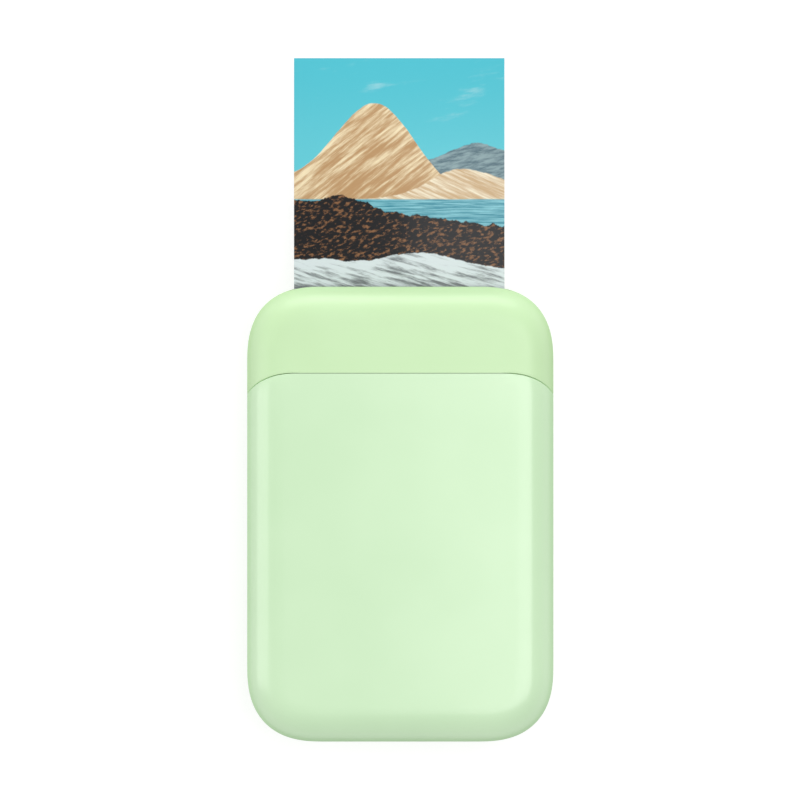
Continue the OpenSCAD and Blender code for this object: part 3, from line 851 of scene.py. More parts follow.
    def fitted(self, shell: bpy.types.Object, node: str, roll: Roll) -> bpy.types.Object:
        """Give a plain shell the ribs, bosses and hinge parts of its CAD node.

        Args:
            shell: The plain shell, with its openings cut.
            node: The CAD node that it stands for.
            roll: The rolled edge of the shell.

        Returns:
            The finished shell.
        """
        inside = merged_copy(node, node + "_inside")
        boolean(inside, self.core(node + "_core", roll), "INTERSECT")
        return smooth(boolean(shell, inside, "UNION"), SHELL_CREASE)

    def barrel_room(self, x0: float, x1: float, radius: float) -> bpy.types.Object:
        """Make a cylinder along the hinge line, from x0 to x1.

        Args:
            x0: Its left end.
            x1: Its right end.
            radius: Its radius.

        Returns:
            The cylinder.
        """
        ring = circle(radius, self.barrel_steps)
        ends = [[Vector((x, self.barrel_y + u, self.front.base + v)) for u, v in ring] for x in (x0, x1)]
        return lofted("barrel_room", ends)

    def cover(self) -> bpy.types.Object:
        """Build the hinged front cover.

        Returns:
            The cover, with ribs and hinge parts.
        """
        shell = self.front_shell("front_cover_shell", -1, self.sides)
        low, high = self.knuckles
        rooms = [self.barrel_room(x0 - self.gap, x1 + self.gap, self.barrel_r + self.gap)
                 for x0, x1 in ((low, high), (-high, -low))]
        boolean(shell, joined("barrel_rooms", rooms), "DIFFERENCE")
        return self.fitted(shell, "front_cover", self.front)

    def cap(self) -> bpy.types.Object:
        """Build the fixed cap with its paper slot.

        Returns:
            The cap, with its lip and clips.
        """
        shell = self.front_shell("top_cap_shell", 1, self.cap_sides)
        loops = []
        for y, grow in self.mouth:
            half, low, high = self.slot_half + grow, self.slot_low - grow, self.slot_high + grow
            corners = [(-half, low), (half, low), (half, high), (-half, high)]
            loops.append([Vector((x, y, z)) for x, z in corners])
        boolean(shell, lofted("slot_cutter", loops), "DIFFERENCE")
        return self.fitted(shell, "top_cap", self.front)

    def housing(self) -> bpy.types.Object:
        """Build the rear housing with its openings, foot groove and screw wells.

        Returns:
            The housing, with bosses and hinge knuckles.
        """
        shell = self.back_shell("rear_housing_shell")
        half, end = self.barrel_half, self.barrel_y + self.barrel_r + self.lip_slack
        start = -self.outline.half_l - 5 * OVER
        corners = [(-half, start), (half, start), (half, end), (-half, end)]
        room = prism("lip_cutter", corners, self.front.base - self.relief, self.front.base + OVER)
        cutters = [room, self.groove()]
        cutters += [hole.cutter("hole", self.wall_face(hole.z)) for hole in self.holes]
        for x, y in ((s * x, y) for x, y in self.screws for s in (-1, 1)):
            ring = circle(self.screw_r, self.well_steps, x, y)
            cutters.append(prism("well", ring, -OVER, self.well_top))
        boolean(shell, joined("housing_cutters", cutters), "DIFFERENCE")
        return self.fitted(shell, "rear_housing", self.back)

    def wall_face(self, z: float) -> float:
        """Find the X of the housing's outer face at a height on its side."""
        lift = ((self.back.base - z) / self.back.rise) ** self.back.power
        return self.outline.half_w - self.back.width * (1 - (1 - lift) ** (1 / self.back.power))

    def groove(self) -> bpy.types.Object:
        """Make the ring that cuts the foot's groove.

        Returns:
            The ring.
        """
        width, length, radius, grow = self.foot_w, self.foot_l, self.foot_r, self.foot_slack
        outer = round_rect(width + grow, length + grow, radius + grow / 2, self.foot_bends)
        band = self.foot_band
        inner = round_rect(
            width - 2 * band - grow, length - 2 * band - grow, radius - band - grow / 2, self.foot_bends)
        ring = prism("groove", outer, -OVER, self.foot_depth)
        core = prism("groove_core", inner, -2 * OVER, self.foot_depth + OVER)
        return boolean(ring, core, "DIFFERENCE")


# ---------- Repeated forms, grown by geometry nodes ----------


class Tree:
    """A node tree under construction."""

    def __init__(self, tree: bpy.types.NodeTree) -> None:
        """Start on a tree.

        Args:
            tree: The tree that nodes are added to.
        """
        self.tree = tree

    def feed(self, socket: Socket, value: object) -> None:
        """Link a socket to another node's output, or set its own value.

        Args:
            socket: The input socket.
            value: An output socket or a plain value.
        """
        if isinstance(value, bpy.types.NodeSocket):
            self.tree.links.new(value, socket)
        else:
            socket.default_value = value

    def node(self, kind: str, inputs: dict[str | int, object] | None = None,
             **settings: object) -> bpy.types.Node:
        """Add a node.

        Args:
            kind: Its type's name.
            inputs: A socket to link or a value to set, by the input's name or number.
            settings: Its properties.

        Returns:
            The node.
        """
        made = self.tree.nodes.new(kind)
        for key, setting in settings.items():
            setattr(made, key, setting)
        for key, value in (inputs or {}).items():
            self.feed(made.inputs[key], value)
        return made

    def math(self, operation: str, *values: Input) -> Socket:
        """Add a sum on one, two or three values."""
        return self.node("ShaderNodeMath", dict(enumerate(values)), operation=operation).outputs[0]


class Geo(Tree):
    """A geometry node tree under construction, run once on a mesh of points."""

    def __init__(self, name: str) -> None:
        """Start a tree that takes points and gives a mesh.

        Args:
            name: The tree's name.
        """
        super().__init__(bpy.data.node_groups.new(name, "GeometryNodeTree"))
        for way in ("INPUT", "OUTPUT"):
            self.tree.interface.new_socket("Geometry", in_out=way, socket_type="NodeSocketGeometry")
        self.start = self.tree.nodes.new("NodeGroupInput")
        self.values: dict[str, object] = {}

    @property
    def points(self) -> Socket:
        """The points that the tree is run on."""
        return self.start.outputs["Geometry"]

    def value(self, name: str, amount: object, kind: str = "Float") -> Socket:
        """Add a named input of the tree.

        Args:
            name: The input's name.
            amount: Its value, which the modifier is given.
            kind: Float, Int, Vector, Object or Material.

        Returns:
            Its socket inside the tree.
        """
        item = self.tree.interface.new_socket(name, in_out="INPUT", socket_type="NodeSocket" + kind)
        self.values[item.identifier] = amount
        return self.start.outputs[name]

    def vector(self, x: object = 0.0, y: object = 0.0, z: object = 0.0) -> Socket:
        """Join three numbers to a vector."""
        return self.node("ShaderNodeCombineXYZ", {0: x, 1: y, 2: z}).outputs[0]

    def span(self, value: object, low: object, high: object,
             to_low: object = 0.0, to_high: object = 1.0) -> Socket:
        """Map a value from one range to another, held at both ends."""
        ends = {0: value, 1: low, 2: high, 3: to_low, 4: to_high}
        return self.node("ShaderNodeMapRange", ends, clamp=True).outputs[0]

    def scatter(self, low: Sequence[float], high: Sequence[float], seed: Socket) -> Socket:
        """Give each point a random vector between two others.

        Args:
            low: The lowest values.
            high: The highest values.
            seed: The seed input.

        Returns:
            The vectors.
        """
        made = self.node(
            "FunctionNodeRandomValue", {0: low, 1: high, "Seed": seed}, data_type="FLOAT_VECTOR")
        return made.outputs[0]

    def copies(self, points: Socket, form: Socket, turn: Socket | None = None) -> Socket:
        """Put a copy of a form on each point.

        Args:
            points: Where the copies go.
            form: The form that is copied.
            turn: Euler angles of each copy, or None for none.

        Returns:
            The copies.
        """
        made = self.node("GeometryNodeInstanceOnPoints", {"Points": points, "Instance": form})
        if turn is not None:
            bent = self.node("FunctionNodeEulerToRotation", {0: turn}).outputs[0]
            self.tree.links.new(bent, made.inputs["Rotation"])
        return made.outputs["Instances"]

    def grow(self, name: str, form: Socket, material: bpy.types.Material,
             places: Iterable[Sequence[float]] = ((0, 0, 0),),
             faces: Iterable[Sequence[int]] = ()) -> bpy.types.Object:
        """End the tree, run it on a mesh and keep the result as plain mesh.

        Args:
            name: The new object's name.
            form: The geometry that the tree gives.
            material: Its material.
            places: Points of the mesh that it runs on, in millimetres.
            faces: Faces of that mesh.

        Returns:
            The new object, with no modifier.
        """
        whole = self.node("GeometryNodeRealizeInstances", {"Geometry": form}).outputs[0]
        skin = self.value("Finish", material, "Material")
        dressed = self.node("GeometryNodeSetMaterial", {"Geometry": whole, "Material": skin}).outputs[0]
        output = self.tree.nodes.new("NodeGroupOutput")
        self.tree.links.new(dressed, output.inputs["Geometry"])
        mesh = bpy.data.meshes.new(name)
        mesh.from_pydata([[c * MM for c in place] for place in places], [], list(faces))
        piece = new_object(name, mesh)
        modifier = piece.modifiers.new(self.tree.name, "NODES")
        modifier.node_group = self.tree
        for identifier, amount in self.values.items():
            modifier[identifier] = amount
        return baked(piece)


@dataclass(frozen=True)
class Coil:
    """A compression spring along Z with flat turns at both ends."""

    radius: float
    wire: float
    height: float
    turns: float = 4.0
    flat: float = 1.0
    per_turn: int = 36
    sides: int = 10
    # Rise of a flat turn against the wire's radius, a hair more than its thickness
    closed: float = 2.04
    crease: float = 50.0

    def grow(self, name: str, places: Sequence[Sequence[float]],
             material: bpy.types.Material) -> bpy.types.Object:
        """Sweep the spring's wire at each place.

        Args:
            name: The new object's name.
            places: Foot of each spring, in millimetres.
            material: The wire's material.

        Returns:
            All the springs as one mesh.
        """
        geo = Geo(name + "_coil")
        radius, wire = geo.value("Radius", self.radius * MM), geo.value("Wire radius", self.wire * MM)
        height, turns = geo.value("Height", self.height * MM), geo.value("Turns", self.turns)
        flat = geo.value("Flat turns", self.flat)
        steps = geo.value("Steps", int(self.turns * self.per_turn), "Int")
        line = geo.node("GeometryNodeCurvePrimitiveLine", {"End": (0, 0, 1)}).outputs[0]
        line = geo.node("GeometryNodeResampleCurve", {"Curve": line, "Count": steps}).outputs[0]
        share = geo.node("GeometryNodeSplineParameter").outputs["Factor"]
        angle = geo.math("MULTIPLY", geo.math("MULTIPLY", share, turns), 2 * math.pi)
        end = geo.math("DIVIDE", flat, turns)
        far = geo.math("SUBTRACT", 1.0, end)
        thick = geo.math("MULTIPLY", wire, self.closed)
        rise = geo.math("SUBTRACT", geo.math("SUBTRACT", height, geo.math("MULTIPLY", wire, 2.0)),
                        geo.math("MULTIPLY", thick, 2.0))
        z = geo.math("ADD", wire, geo.span(share, 0.0, end, 0.0, thick))
        z = geo.math("ADD", z, geo.span(share, end, far, 0.0, rise))
        z = geo.math("ADD", z, geo.span(share, far, 1.0, 0.0, thick))
        across = geo.math("MULTIPLY", radius, geo.math("COSINE", angle))
        along = geo.math("MULTIPLY", radius, geo.math("SINE", angle))
        place = geo.vector(across, along, z)
        path = geo.node("GeometryNodeSetPosition", {"Geometry": line, "Position": place}).outputs[0]
        section = {"Resolution": self.sides, "Radius": wire}
        ring = geo.node("GeometryNodeCurvePrimitiveCircle", section).outputs[0]
        tube = geo.node(
            "GeometryNodeCurveToMesh", {"Curve": path, "Profile Curve": ring, "Fill Caps": True}).outputs[0]
        return smooth(geo.grow(name, geo.copies(geo.points, tube), material, places), self.crease)


@dataclass(frozen=True)
class Pile:
    """Loose sheets lying on each other, each a hair out of line."""

    width: float = 50.8
    length: float = 76.2
    foot: float = 14.35
    pitch: float = 0.25
    thickness: float = 0.235
    count: int = 10
    stray: float = 0.09
    middle_y: float = -10.3
    seed: int = 7

    def grow(self, name: str, material: bpy.types.Material) -> bpy.types.Object:
        """Stack the sheets.

        Args:
            name: The new object's name.
            material: The paper's material.

        Returns:
            The stack as one plain mesh.
        """
        geo = Geo(name + "_pile")
        count = geo.value("Sheets", self.count, "Int")
        seed = geo.value("Seed", self.seed, "Int")
        size = geo.value("Sheet size", [self.width * MM, self.length * MM, self.thickness * MM], "Vector")
        step = geo.vector(0.0, 0.0, geo.value("Pitch", self.pitch * MM))
        stray = self.stray * MM
        sheet = geo.node("GeometryNodeMeshCube", {"Size": size}).outputs[0]
        line = geo.node("GeometryNodeMeshLine", {"Count": count, "Offset": step}).outputs[0]
        shift = geo.scatter((-stray, -stray, 0.0), (stray, stray, 0.0), seed)
        line = geo.node("GeometryNodeSetPosition", {"Geometry": line, "Offset": shift}).outputs[0]
        piles = geo.copies(geo.points, geo.copies(line, sheet))
        place = (0.0, self.middle_y, self.foot + self.thickness / 2)
        return geo.grow(name, piles, material, [place])


@dataclass(frozen=True)
class Tyre:
    """A ribbed rubber tyre round an axis along X."""

    radius: float = 4.0
    bore: float = 1.52
    width: float = 6.0
    ribs: int = 36
    depth: float = 0.16
    per_rib: int = 6
    edge: float = 0.2
    # Cosines of a rib's own angle at the foot and at the top of a groove's wall
    groove: Point = (-0.9, -0.2)
    crease: float = 35.0

    def grow(self, name: str, places: Sequence[Sequence[float]],
             material: bpy.types.Material) -> bpy.types.Object:
        """Sweep the tyre's section round its axis and press the grooves in.

        Args:
            name: The new object's name.
            places: Centre of each tyre, in millimetres.
            material: The rubber.

        Returns:
            All the tyres as one mesh.
        """
        geo = Geo(name + "_ribs")
        ribs = geo.value("Ribs", self.ribs, "Int")
        depth = geo.value("Groove depth", self.depth * MM)
        middle = (self.radius + self.bore) / 2
        height = self.radius - self.bore
        size = {"Width": height * MM, "Height": self.width * MM}
        section = geo.node("GeometryNodeCurvePrimitiveQuadrilateral", size).outputs[0]
        section = geo.node(
            "GeometryNodeFilletCurve", {"Curve": section, "Radius": self.edge * MM, "Count": 2},
            mode="POLY").outputs[0]
        path = {"Resolution": self.ribs * self.per_rib, "Radius": middle * MM}
        ring = geo.node("GeometryNodeCurvePrimitiveCircle", path).outputs[0]
        body = geo.node("GeometryNodeCurveToMesh", {"Curve": ring, "Profile Curve": section}).outputs[0]
        split = geo.node("ShaderNodeSeparateXYZ", {0: geo.node("GeometryNodeInputPosition").outputs[0]})
        x, y, z = split.outputs
        angle = geo.math("MULTIPLY", geo.math("ARCTAN2", y, x), ribs)
        groove = geo.span(geo.math("COSINE", angle), *self.groove, 1.0, 0.0)
        far = geo.math("SQRT", geo.math("ADD", geo.math("MULTIPLY", x, x), geo.math("MULTIPLY", y, y)))
        outer = geo.math("GREATER_THAN", far, middle * MM)
        press = geo.math("MULTIPLY", geo.math("MULTIPLY", groove, outer), depth)
        scale = geo.math("SUBTRACT", 1.0, geo.math("DIVIDE", press, far))
        turned = geo.vector(z, geo.math("MULTIPLY", x, scale), geo.math("MULTIPLY", y, scale))
        body = geo.node("GeometryNodeSetPosition", {"Geometry": body, "Position": turned}).outputs[0]
        return smooth(geo.grow(name, geo.copies(geo.points, body), material, places), self.crease)


@dataclass(frozen=True)
class Screw:
    """A cross-head screw, head at its own z = 0 and shank along its own +Z."""

    head: float
    head_h: float
    shank: float
    length: float
    dome: float = 0.25
    thread: float = 0.4
    # Radii of the neck, the thread's root and the tip, against the shank's
    neck: float = 0.8
    root: float = 0.82
    tip: float = 0.5
    # The cross: half length, half width and depth against the head's radius, and how its foot narrows
    cross: tuple[float, float, float] = (0.6, 0.18, 0.55)
    cross_taper: float = 0.62
    cross_over: float = 0.2
    # Most of the head's height that the cross and the dome take, and the dome's share in its first step
    cross_most: float = 0.8
    dome_most: float = 0.6
    dome_step: float = 0.3
    steps: int = 32
    crease: float = 40.0
    seed: int = 3

    def form(self, name: str) -> bpy.types.Object:
        """Make one screw as a template.

        Args:
            name: The new object's name.

        Returns:
            The screw, with its head at the origin.
        """
        rim = min(self.dome, self.head_h * self.dome_most)
        step = rim * self.dome_step
        stations = [(self.head - rim, 0.0), (self.head - step, step), (self.head, rim),
                    (self.head, self.head_h), (self.shank * self.neck, self.head_h)]
        z = self.head_h + self.thread / 2
        while z < self.length - self.thread:
            stations += [(self.shank, z), (self.shank * self.root, z + self.thread / 2)]
            z += self.thread
        stations.append((self.shank * self.tip, self.length))
        screw = lofted(name, [raised(circle(r, self.steps), z) for r, z in stations])
        half, thin, deep = (self.head * share for share in self.cross)
        depth = min(deep, self.head_h * self.cross_most)
        signs = ((-1, -1), (1, -1), (1, 1), (-1, 1))
        blades = []
        for wide, high in ((half, thin), (thin, half)):
            loops = [[Vector((sx * wide * s, sy * high * s, z)) for sx, sy in signs]
                     for s, z in ((1.0, -self.cross_over), (self.cross_taper, depth))]
            blades.append(lofted("blade", loops))
        cross = boolean(blades[0], blades[1], "UNION")
        return smooth(boolean(screw, cross, "DIFFERENCE"), self.crease)

    def grow(self, name: str, places: Sequence[Sequence[float]], material: bpy.types.Material,
             tilt: Sequence[float] = (0.0, 0.0, 0.0)) -> bpy.types.Object:
        """Drive a screw in at each place, each turned by its own amount.

        Args:
            name: The new object's name.
            places: Middle of each head's face, in millimetres.
            material: The screws' material.
            tilt: Degrees about X, Y and Z that turn +Z to the way the screws point.

        Returns:
            All the screws as one mesh.
        """
        template = self.form(name + "_template")
        geo = Geo(name + "_places")
        form = geo.value("Screw", template, "Object")
        seed = geo.value("Seed", self.seed, "Int")
        one = geo.node("GeometryNodeObjectInfo", {"Object": form}).outputs["Geometry"]
        spin = geo.scatter((0, 0, 0), (0, 0, math.pi), seed)
        inner = geo.node("FunctionNodeEulerToRotation", {0: spin}).outputs[0]
        outer = geo.node("FunctionNodeEulerToRotation", {0: [math.radians(a) for a in tilt]}).outputs[0]
        turn = geo.node("FunctionNodeRotateRotation", {0: inner, 1: outer}).outputs[0]
        copies = {"Points": geo.points, "Instance": one, "Rotation": turn}
        placed = geo.node("GeometryNodeInstanceOnPoints", copies).outputs[0]
        piece = geo.grow(name, placed, material, places)
        discard(template)
        return smooth(piece, self.crease)


@dataclass(frozen=True)
class Chips:
    """Small soldered parts, scattered over the free zones of a board."""

    zones: tuple[tuple[float, float, float, float], ...]
    level: float
    size: tuple[float, float, float] = (1.0, 0.5, 0.4)
    gap: float = 1.35
    # Most parts on a square metre
    density: float = 900000.0
    # Length of a metal end against the part's, and its width and height against the body's
    cap: float = 0.24
    proud: float = 1.04
    seed: int = 11

    def grow(self, name: str, material: bpy.types.Material, ends: bool) -> bpy.types.Object:
        """Scatter the parts' bodies or their metal ends.

        Args:
            name: The new object's name.
            material: The parts' material.
            ends: Whether to make the metal ends and not the bodies.

        Returns:
            The parts as one mesh.
        """
        geo = Geo(name + "_scatter")
        seed = geo.value("Seed", self.seed, "Int")
        gap = geo.value("Gap", self.gap * MM)
        length, width, height = (side * MM for side in self.size)
        points = geo.node(
            "GeometryNodeDistributePointsOnFaces",
            {"Mesh": geo.points, "Distance Min": gap, "Density Max": self.density, "Seed": seed},
            distribute_method="POISSON").outputs["Points"]
        core = length * (1 - 2 * self.cap)
        if ends:
            size = (length * self.cap, width * self.proud, height * self.proud)
            block = geo.node("GeometryNodeMeshCube", {"Size": size}).outputs[0]
            both = [geo.node("GeometryNodeTransform", {
                "Geometry": block, "Translation": (s * (length - size[0]) / 2, 0, height / 2)}).outputs[0]
                for s in (-1, 1)]
            join = geo.node("GeometryNodeJoinGeometry")
            for part in both:
                geo.tree.links.new(part, join.inputs[0])
            form = join.outputs[0]
        else:
            block = geo.node("GeometryNodeMeshCube", {"Size": (core, width, height)}).outputs[0]
            form = geo.node(
                "GeometryNodeTransform", {"Geometry": block, "Translation": (0, 0, height / 2)}).outputs[0]
        quarter = geo.node(
            "FunctionNodeRandomValue", {4: 0, 5: 1, "Seed": seed}, data_type="INT").outputs[2]
        turn = geo.vector(0.0, 0.0, geo.math("MULTIPLY", quarter, math.pi / 2))
        places, faces = [], []
        for x0, x1, y0, y1 in self.zones:
            start = len(places)
            places += [(x0, y0, self.level), (x1, y0, self.level), (x1, y1, self.level), (x0, y1, self.level)]
            faces.append(range(start, start + 4))
        return geo.grow(name, geo.copies(points, form, turn), material, places, [list(f) for f in faces])


@dataclass(frozen=True)
class Contacts:
    """A row of small flat contacts."""

    count: int
    step: tuple[float, float, float]
    size: tuple[float, float, float]

    def grow(self, name: str, places: Sequence[Sequence[float]],
             material: bpy.types.Material) -> bpy.types.Object:
        """Lay a row from each place.

        Args:
            name: The new object's name.
            places: Middle of each row's first contact, in millimetres.
            material: The contacts' material.

        Returns:
            All the rows as one mesh.
        """
        geo = Geo(name + "_row")
        count = geo.value("Contacts", self.count, "Int")
        step = geo.value("Step", [c * MM for c in self.step], "Vector")
        size = geo.value("Contact size", [c * MM for c in self.size], "Vector")
        block = geo.node("GeometryNodeMeshCube", {"Size": size}).outputs[0]
        line = geo.node("GeometryNodeMeshLine", {"Count": count, "Offset": step}).outputs[0]
        return geo.grow(name, geo.copies(geo.points, geo.copies(line, block)), material, places)


# ---------- Finishes ----------


class Sheet(Tree):
    """A material's node tree under construction."""

    # Facing values where a gloss starts to die away, and where it is gone
    gloss_ends: Point = (0.3, 0.7)
    # Noise values where a soft spot starts, and where it is full
    spots: Point = (0.3, 0.7)

    def __init__(self, name: str) -> None:
        """Start a material with one shader on its output.

        Args:
            name: The material's name.
        """
        self.material = bpy.data.materials.new(name)
        self.material.use_nodes = True
        super().__init__(self.material.node_tree)
        self.tree.nodes.clear()
        self.shader = self.node("ShaderNodeBsdfPrincipled")
        self.node("ShaderNodeOutputMaterial", {"Surface": self.shader.outputs["BSDF"]})

    def set(self, **values: Input) -> None:
        """Set the shader's sockets, with underscores in place of spaces in their names."""
        for key, value in values.items():
            self.feed(self.shader.inputs[key.replace("_", " ")], value)

    def place(self, stretch: Sequence[float] = (1, 1, 1), turn: float = 0.0) -> Socket:
        """Read the place on the piece in millimetres.

        Args:
            stretch: Scale along each axis after that.
            turn: Degrees to turn the pattern about Z.

        Returns:
            The place as a vector.
        """
        here = self.node("ShaderNodeTexCoord").outputs["Object"]
        scale = [MM / s for s in stretch]
        bend = {"Vector": here, "Scale": scale, "Rotation": (0, 0, math.radians(turn))}
        return self.node("ShaderNodeMapping", bend, vector_type="TEXTURE").outputs["Vector"]

    def noise(self, size: float, detail: float, where: Socket, rough: float) -> Socket:
        """Add a noise pattern.

        Args:
            size: Size of its spots in millimetres.
            detail: How many finer layers it has.
            where: The place that it reads.
            rough: How strong the finer layers are.

        Returns:
            A value about 0.5.
        """
        values = {"Vector": where, "Scale": 1 / size, "Detail": detail, "Roughness": rough}
        return self.node("ShaderNodeTexNoise", values).outputs["Fac"]

    def cells(self, size: float, where: Socket) -> Socket:
        """Add a pattern of cells.

        Args:
            size: Size of a cell in millimetres.
            where: The place that it reads.

        Returns:
            The distance to the middle of the nearest cell.
        """
        values = {"Vector": where, "Scale": 1 / size}
        return self.node("ShaderNodeTexVoronoi", values).outputs["Distance"]

    def ramp(self, value: Input, low: float, high: float,
             to_low: float = 0.0, to_high: float = 1.0) -> Socket:
        """Ease a value from one range to another.

        Args:
            value: The value that is read.
            low: Where the easing starts.
            high: Where it ends.
            to_low: What it gives at the start.
            to_high: What it gives at the end.

        Returns:
            The eased value.
        """
        ends = {"Value": value, "From Min": low, "From Max": high, "To Min": to_low, "To Max": to_high}
        return self.node("ShaderNodeMapRange", ends, interpolation_type="SMOOTHSTEP").outputs["Result"]

    def blend(self, share: Input, first: Input, second: Input) -> Socket:
        """Mix two colours by a share.

        Args:
            share: How much of the second colour shows.
            first: The colour at 0.
            second: The colour at 1.

        Returns:
            The mixed colour.
        """
        colours = {"Factor": share, 6: first, 7: second}
        return self.node("ShaderNodeMix", colours, data_type="RGBA").outputs[2]

    def gloss(self, full: float) -> Socket:
        """Let a gloss die away where the surface turns its side, as satin does.

        Args:
            full: Its strength where the surface is seen square on.

        Returns:
            The strength.
        """
        facing = self.node("ShaderNodeLayerWeight").outputs["Facing"]
        return self.ramp(facing, *self.gloss_ends, full, 0.0)

    def axis(self, name: str) -> Socket:
        """Read one axis of the place on the piece, in millimetres.

        Args:
            name: X, Y or Z.

        Returns:
            The place along it.
        """
        return self.node("ShaderNodeSeparateXYZ", {"Vector": self.place()}).outputs[name]

    def relief(self, height: Socket, depth: float) -> None:
        """Raise the surface's shading by a height pattern.

        Args:
            height: The pattern, about 0 to 1.
            depth: Its height in millimetres.
        """
        values = {"Height": height, "Strength": 1.0, "Distance": depth * MM}
        self.set(Normal=self.node("ShaderNodeBump", values).outputs["Normal"])


@dataclass(frozen=True)
class Pattern:
    """A noise, or a pattern of cells, that is stretched and turned over a piece."""

    size: float
    detail: float = 2.0
    stretch: tuple[float, float, float] = (1, 1, 1)
    rough: float = 0.5
    turn: float = 0.0
    cells: bool = False

    def draw(self, sheet: Sheet) -> Socket:
        """Add the pattern's nodes.

        Args:
            sheet: The material under construction.

        Returns:
            The pattern, about 0 to 1.
        """
        where = sheet.place(self.stretch, self.turn)
        if self.cells:
            return sheet.cells(self.size, where)
        return sheet.noise(self.size, self.detail, where, self.rough)


class Grain(Enum):
    """Kinds of fine surface relief: turned about X, brushed along Y, paper fibre and others."""

    POLISHED = Pattern(3.2, detail=1)
    MOULDED = Pattern(0.16, cells=True)
    TURNED = Pattern(0.12, detail=3, stretch=(1, 0.02, 0.02))
    BRUSHED = Pattern(0.12, detail=3, stretch=(1, 0.02, 1))
    FIBRE = Pattern(0.3, detail=5, stretch=(1, 0.3, 1), rough=0.7)
    CRINKLED = Pattern(4.5, stretch=(1, 0.6, 1), turn=25, cells=True)
    FOAM = Pattern(0.28, cells=True)
    GROUND = Pattern(0.1, detail=4, stretch=(0.5, 1, 1), rough=0.65)


@dataclass(frozen=True)
class Finish:
    """A surface finish that a material is made from."""

    name: str
    colour: Colour
    roughness: float
    grain: Grain = Grain.MOULDED
    metallic: float = 0.0
    coat: float = 0.0
    coat_roughness: float = 0.08
    spread: float = 0.04
    depth: float = 0.004
    transmission: float = 0.0
    sheen: float = 0.0
    # Worn patches: their pattern, and the share of the roughness in the smooth and the rough ones
    patches: Pattern = Pattern(7.0, detail=3)
    wear: Point = (0.9, 1.12)

    def make(self) -> bpy.types.Material:
        """Build the material.

        Returns:
            The material, with patchy wear in its colour and gloss and its grain as relief.
        """
        sheet = Sheet(self.name)
        base = linear(self.colour)
        dim = [c * (1 - self.spread * 2) for c in base[:3]] + [1.0]
        pattern = self.grain.value.draw(sheet)
        patches = self.patches.draw(sheet)
        low, high = (min(self.roughness * share, 1.0) for share in self.wear)
        sheet.set(
            Base_Color=sheet.blend(sheet.ramp(patches, *sheet.spots), dim, base),
            Roughness=sheet.ramp(patches, 0.25, 0.75, low, high),
            Metallic=self.metallic, Coat_Weight=self.coat, Coat_Roughness=self.coat_roughness,
            Transmission_Weight=self.transmission, Sheen_Weight=self.sheen)
        sheet.relief(pattern, self.depth)
        return sheet.material


@dataclass(frozen=True)
class ShellFinish:
    """Moulded pearl plastic of the outer shells."""

    name: str
    colour: Colour
    shade: Colour
    roughness: float
    coat: float
    coat_roughness: float
    specular: float = 0.5
    # Height of the waves and of the specks, in millimetres
    peel: float = 0.0016
    speck: float = 0.0012
    # Patterns of the tint, the gloss, the waves and the specks, and how far the roughness strays
    tint: Pattern = Pattern(26.0)
    patches: Pattern = Pattern(2.2, detail=3)
    waves: Pattern = Pattern(3.6, detail=1)
    specks: Pattern = Pattern(0.14)
    wear: Point = (0.94, 1.06)

    def make(self) -> bpy.types.Material:
        """Build the material: a soft pearl tint, fine mould texture and slight waviness under the coat.

        Returns:
            The material.
        """
        sheet = Sheet(self.name)
        tint = sheet.ramp(self.tint.draw(sheet), *sheet.spots)
        low, high = (self.roughness * share for share in self.wear)
        sheet.set(
            Base_Color=sheet.blend(tint, linear(self.shade), linear(self.colour)),
            Roughness=sheet.ramp(self.patches.draw(sheet), *sheet.spots, low, high),
            Specular_IOR_Level=sheet.gloss(self.specular), Coat_Weight=sheet.gloss(self.coat),
            Coat_Roughness=self.coat_roughness)
        waves = sheet.math("MULTIPLY", self.waves.draw(sheet), self.peel)
        specks = sheet.math("MULTIPLY", self.specks.draw(sheet), self.speck)
        sheet.relief(sheet.math("ADD", waves, specks), 1.0)
        return sheet.material


@dataclass(frozen=True)
class Ridge:
    """One layer of the printed landscape: the ground below a wavy line."""

    # The line's height and slope, its hump's height, width and middle, and its raggedness with that
    # grain's size
    height: float
    slope: float
    swell: tuple[float, float, float]
    rough: float
    grain: float
    # The ground's colours, and its streaks' length, width and turn in degrees
    light: Colour
    dark: Colour
    streak: tuple[float, float, float]
    # Streak values between which dark turns to light, and how much darker it gets with each millimetre
    cut: Point = (0.34, 0.66)
    fall: float = 0.0
    # Distance below the line, in millimetres, over which the layer fades in
    edge: Point = (-0.12, 0.22)

    def lay(self, sheet: Sheet, x: Socket, y: Socket, behind: Socket) -> Socket:
        """Paint this layer over what lies behind it.

        Args:
            sheet: The material under construction.
            x: Place across the print in millimetres.
            y: Place along the print in millimetres.
            behind: Colour of the layers behind.

        Returns:
            The colour with this layer in front.
        """
        size, width, middle = self.swell
        away = sheet.math("DIVIDE", sheet.math("SUBTRACT", x, middle), width)
        hump = sheet.math("EXPONENT", sheet.math("MULTIPLY", sheet.math("MULTIPLY", away, away), -1.0))
        line = sheet.math("MULTIPLY_ADD", hump, size, self.height)
        line = sheet.math("MULTIPLY_ADD", x, self.slope, line)
        ragged = Pattern(self.grain, detail=5, stretch=(1, 0.25, 1), rough=0.6)
        wobble = sheet.math("SUBTRACT", ragged.draw(sheet), 0.5)
        line = sheet.math("MULTIPLY_ADD", wobble, self.rough, line)
        below = sheet.math("SUBTRACT", line, y)
        across, along, turn = self.streak
        streaks = Pattern(1.0, detail=6, stretch=(1 / across, 1 / along, 1), rough=0.62, turn=turn)
        tone = sheet.math("MULTIPLY_ADD", below, -self.fall, streaks.draw(sheet))
        body = sheet.blend(sheet.ramp(tone, *self.cut), linear(self.dark), linear(self.light))
        return sheet.blend(sheet.ramp(below, *self.edge), behind, body)


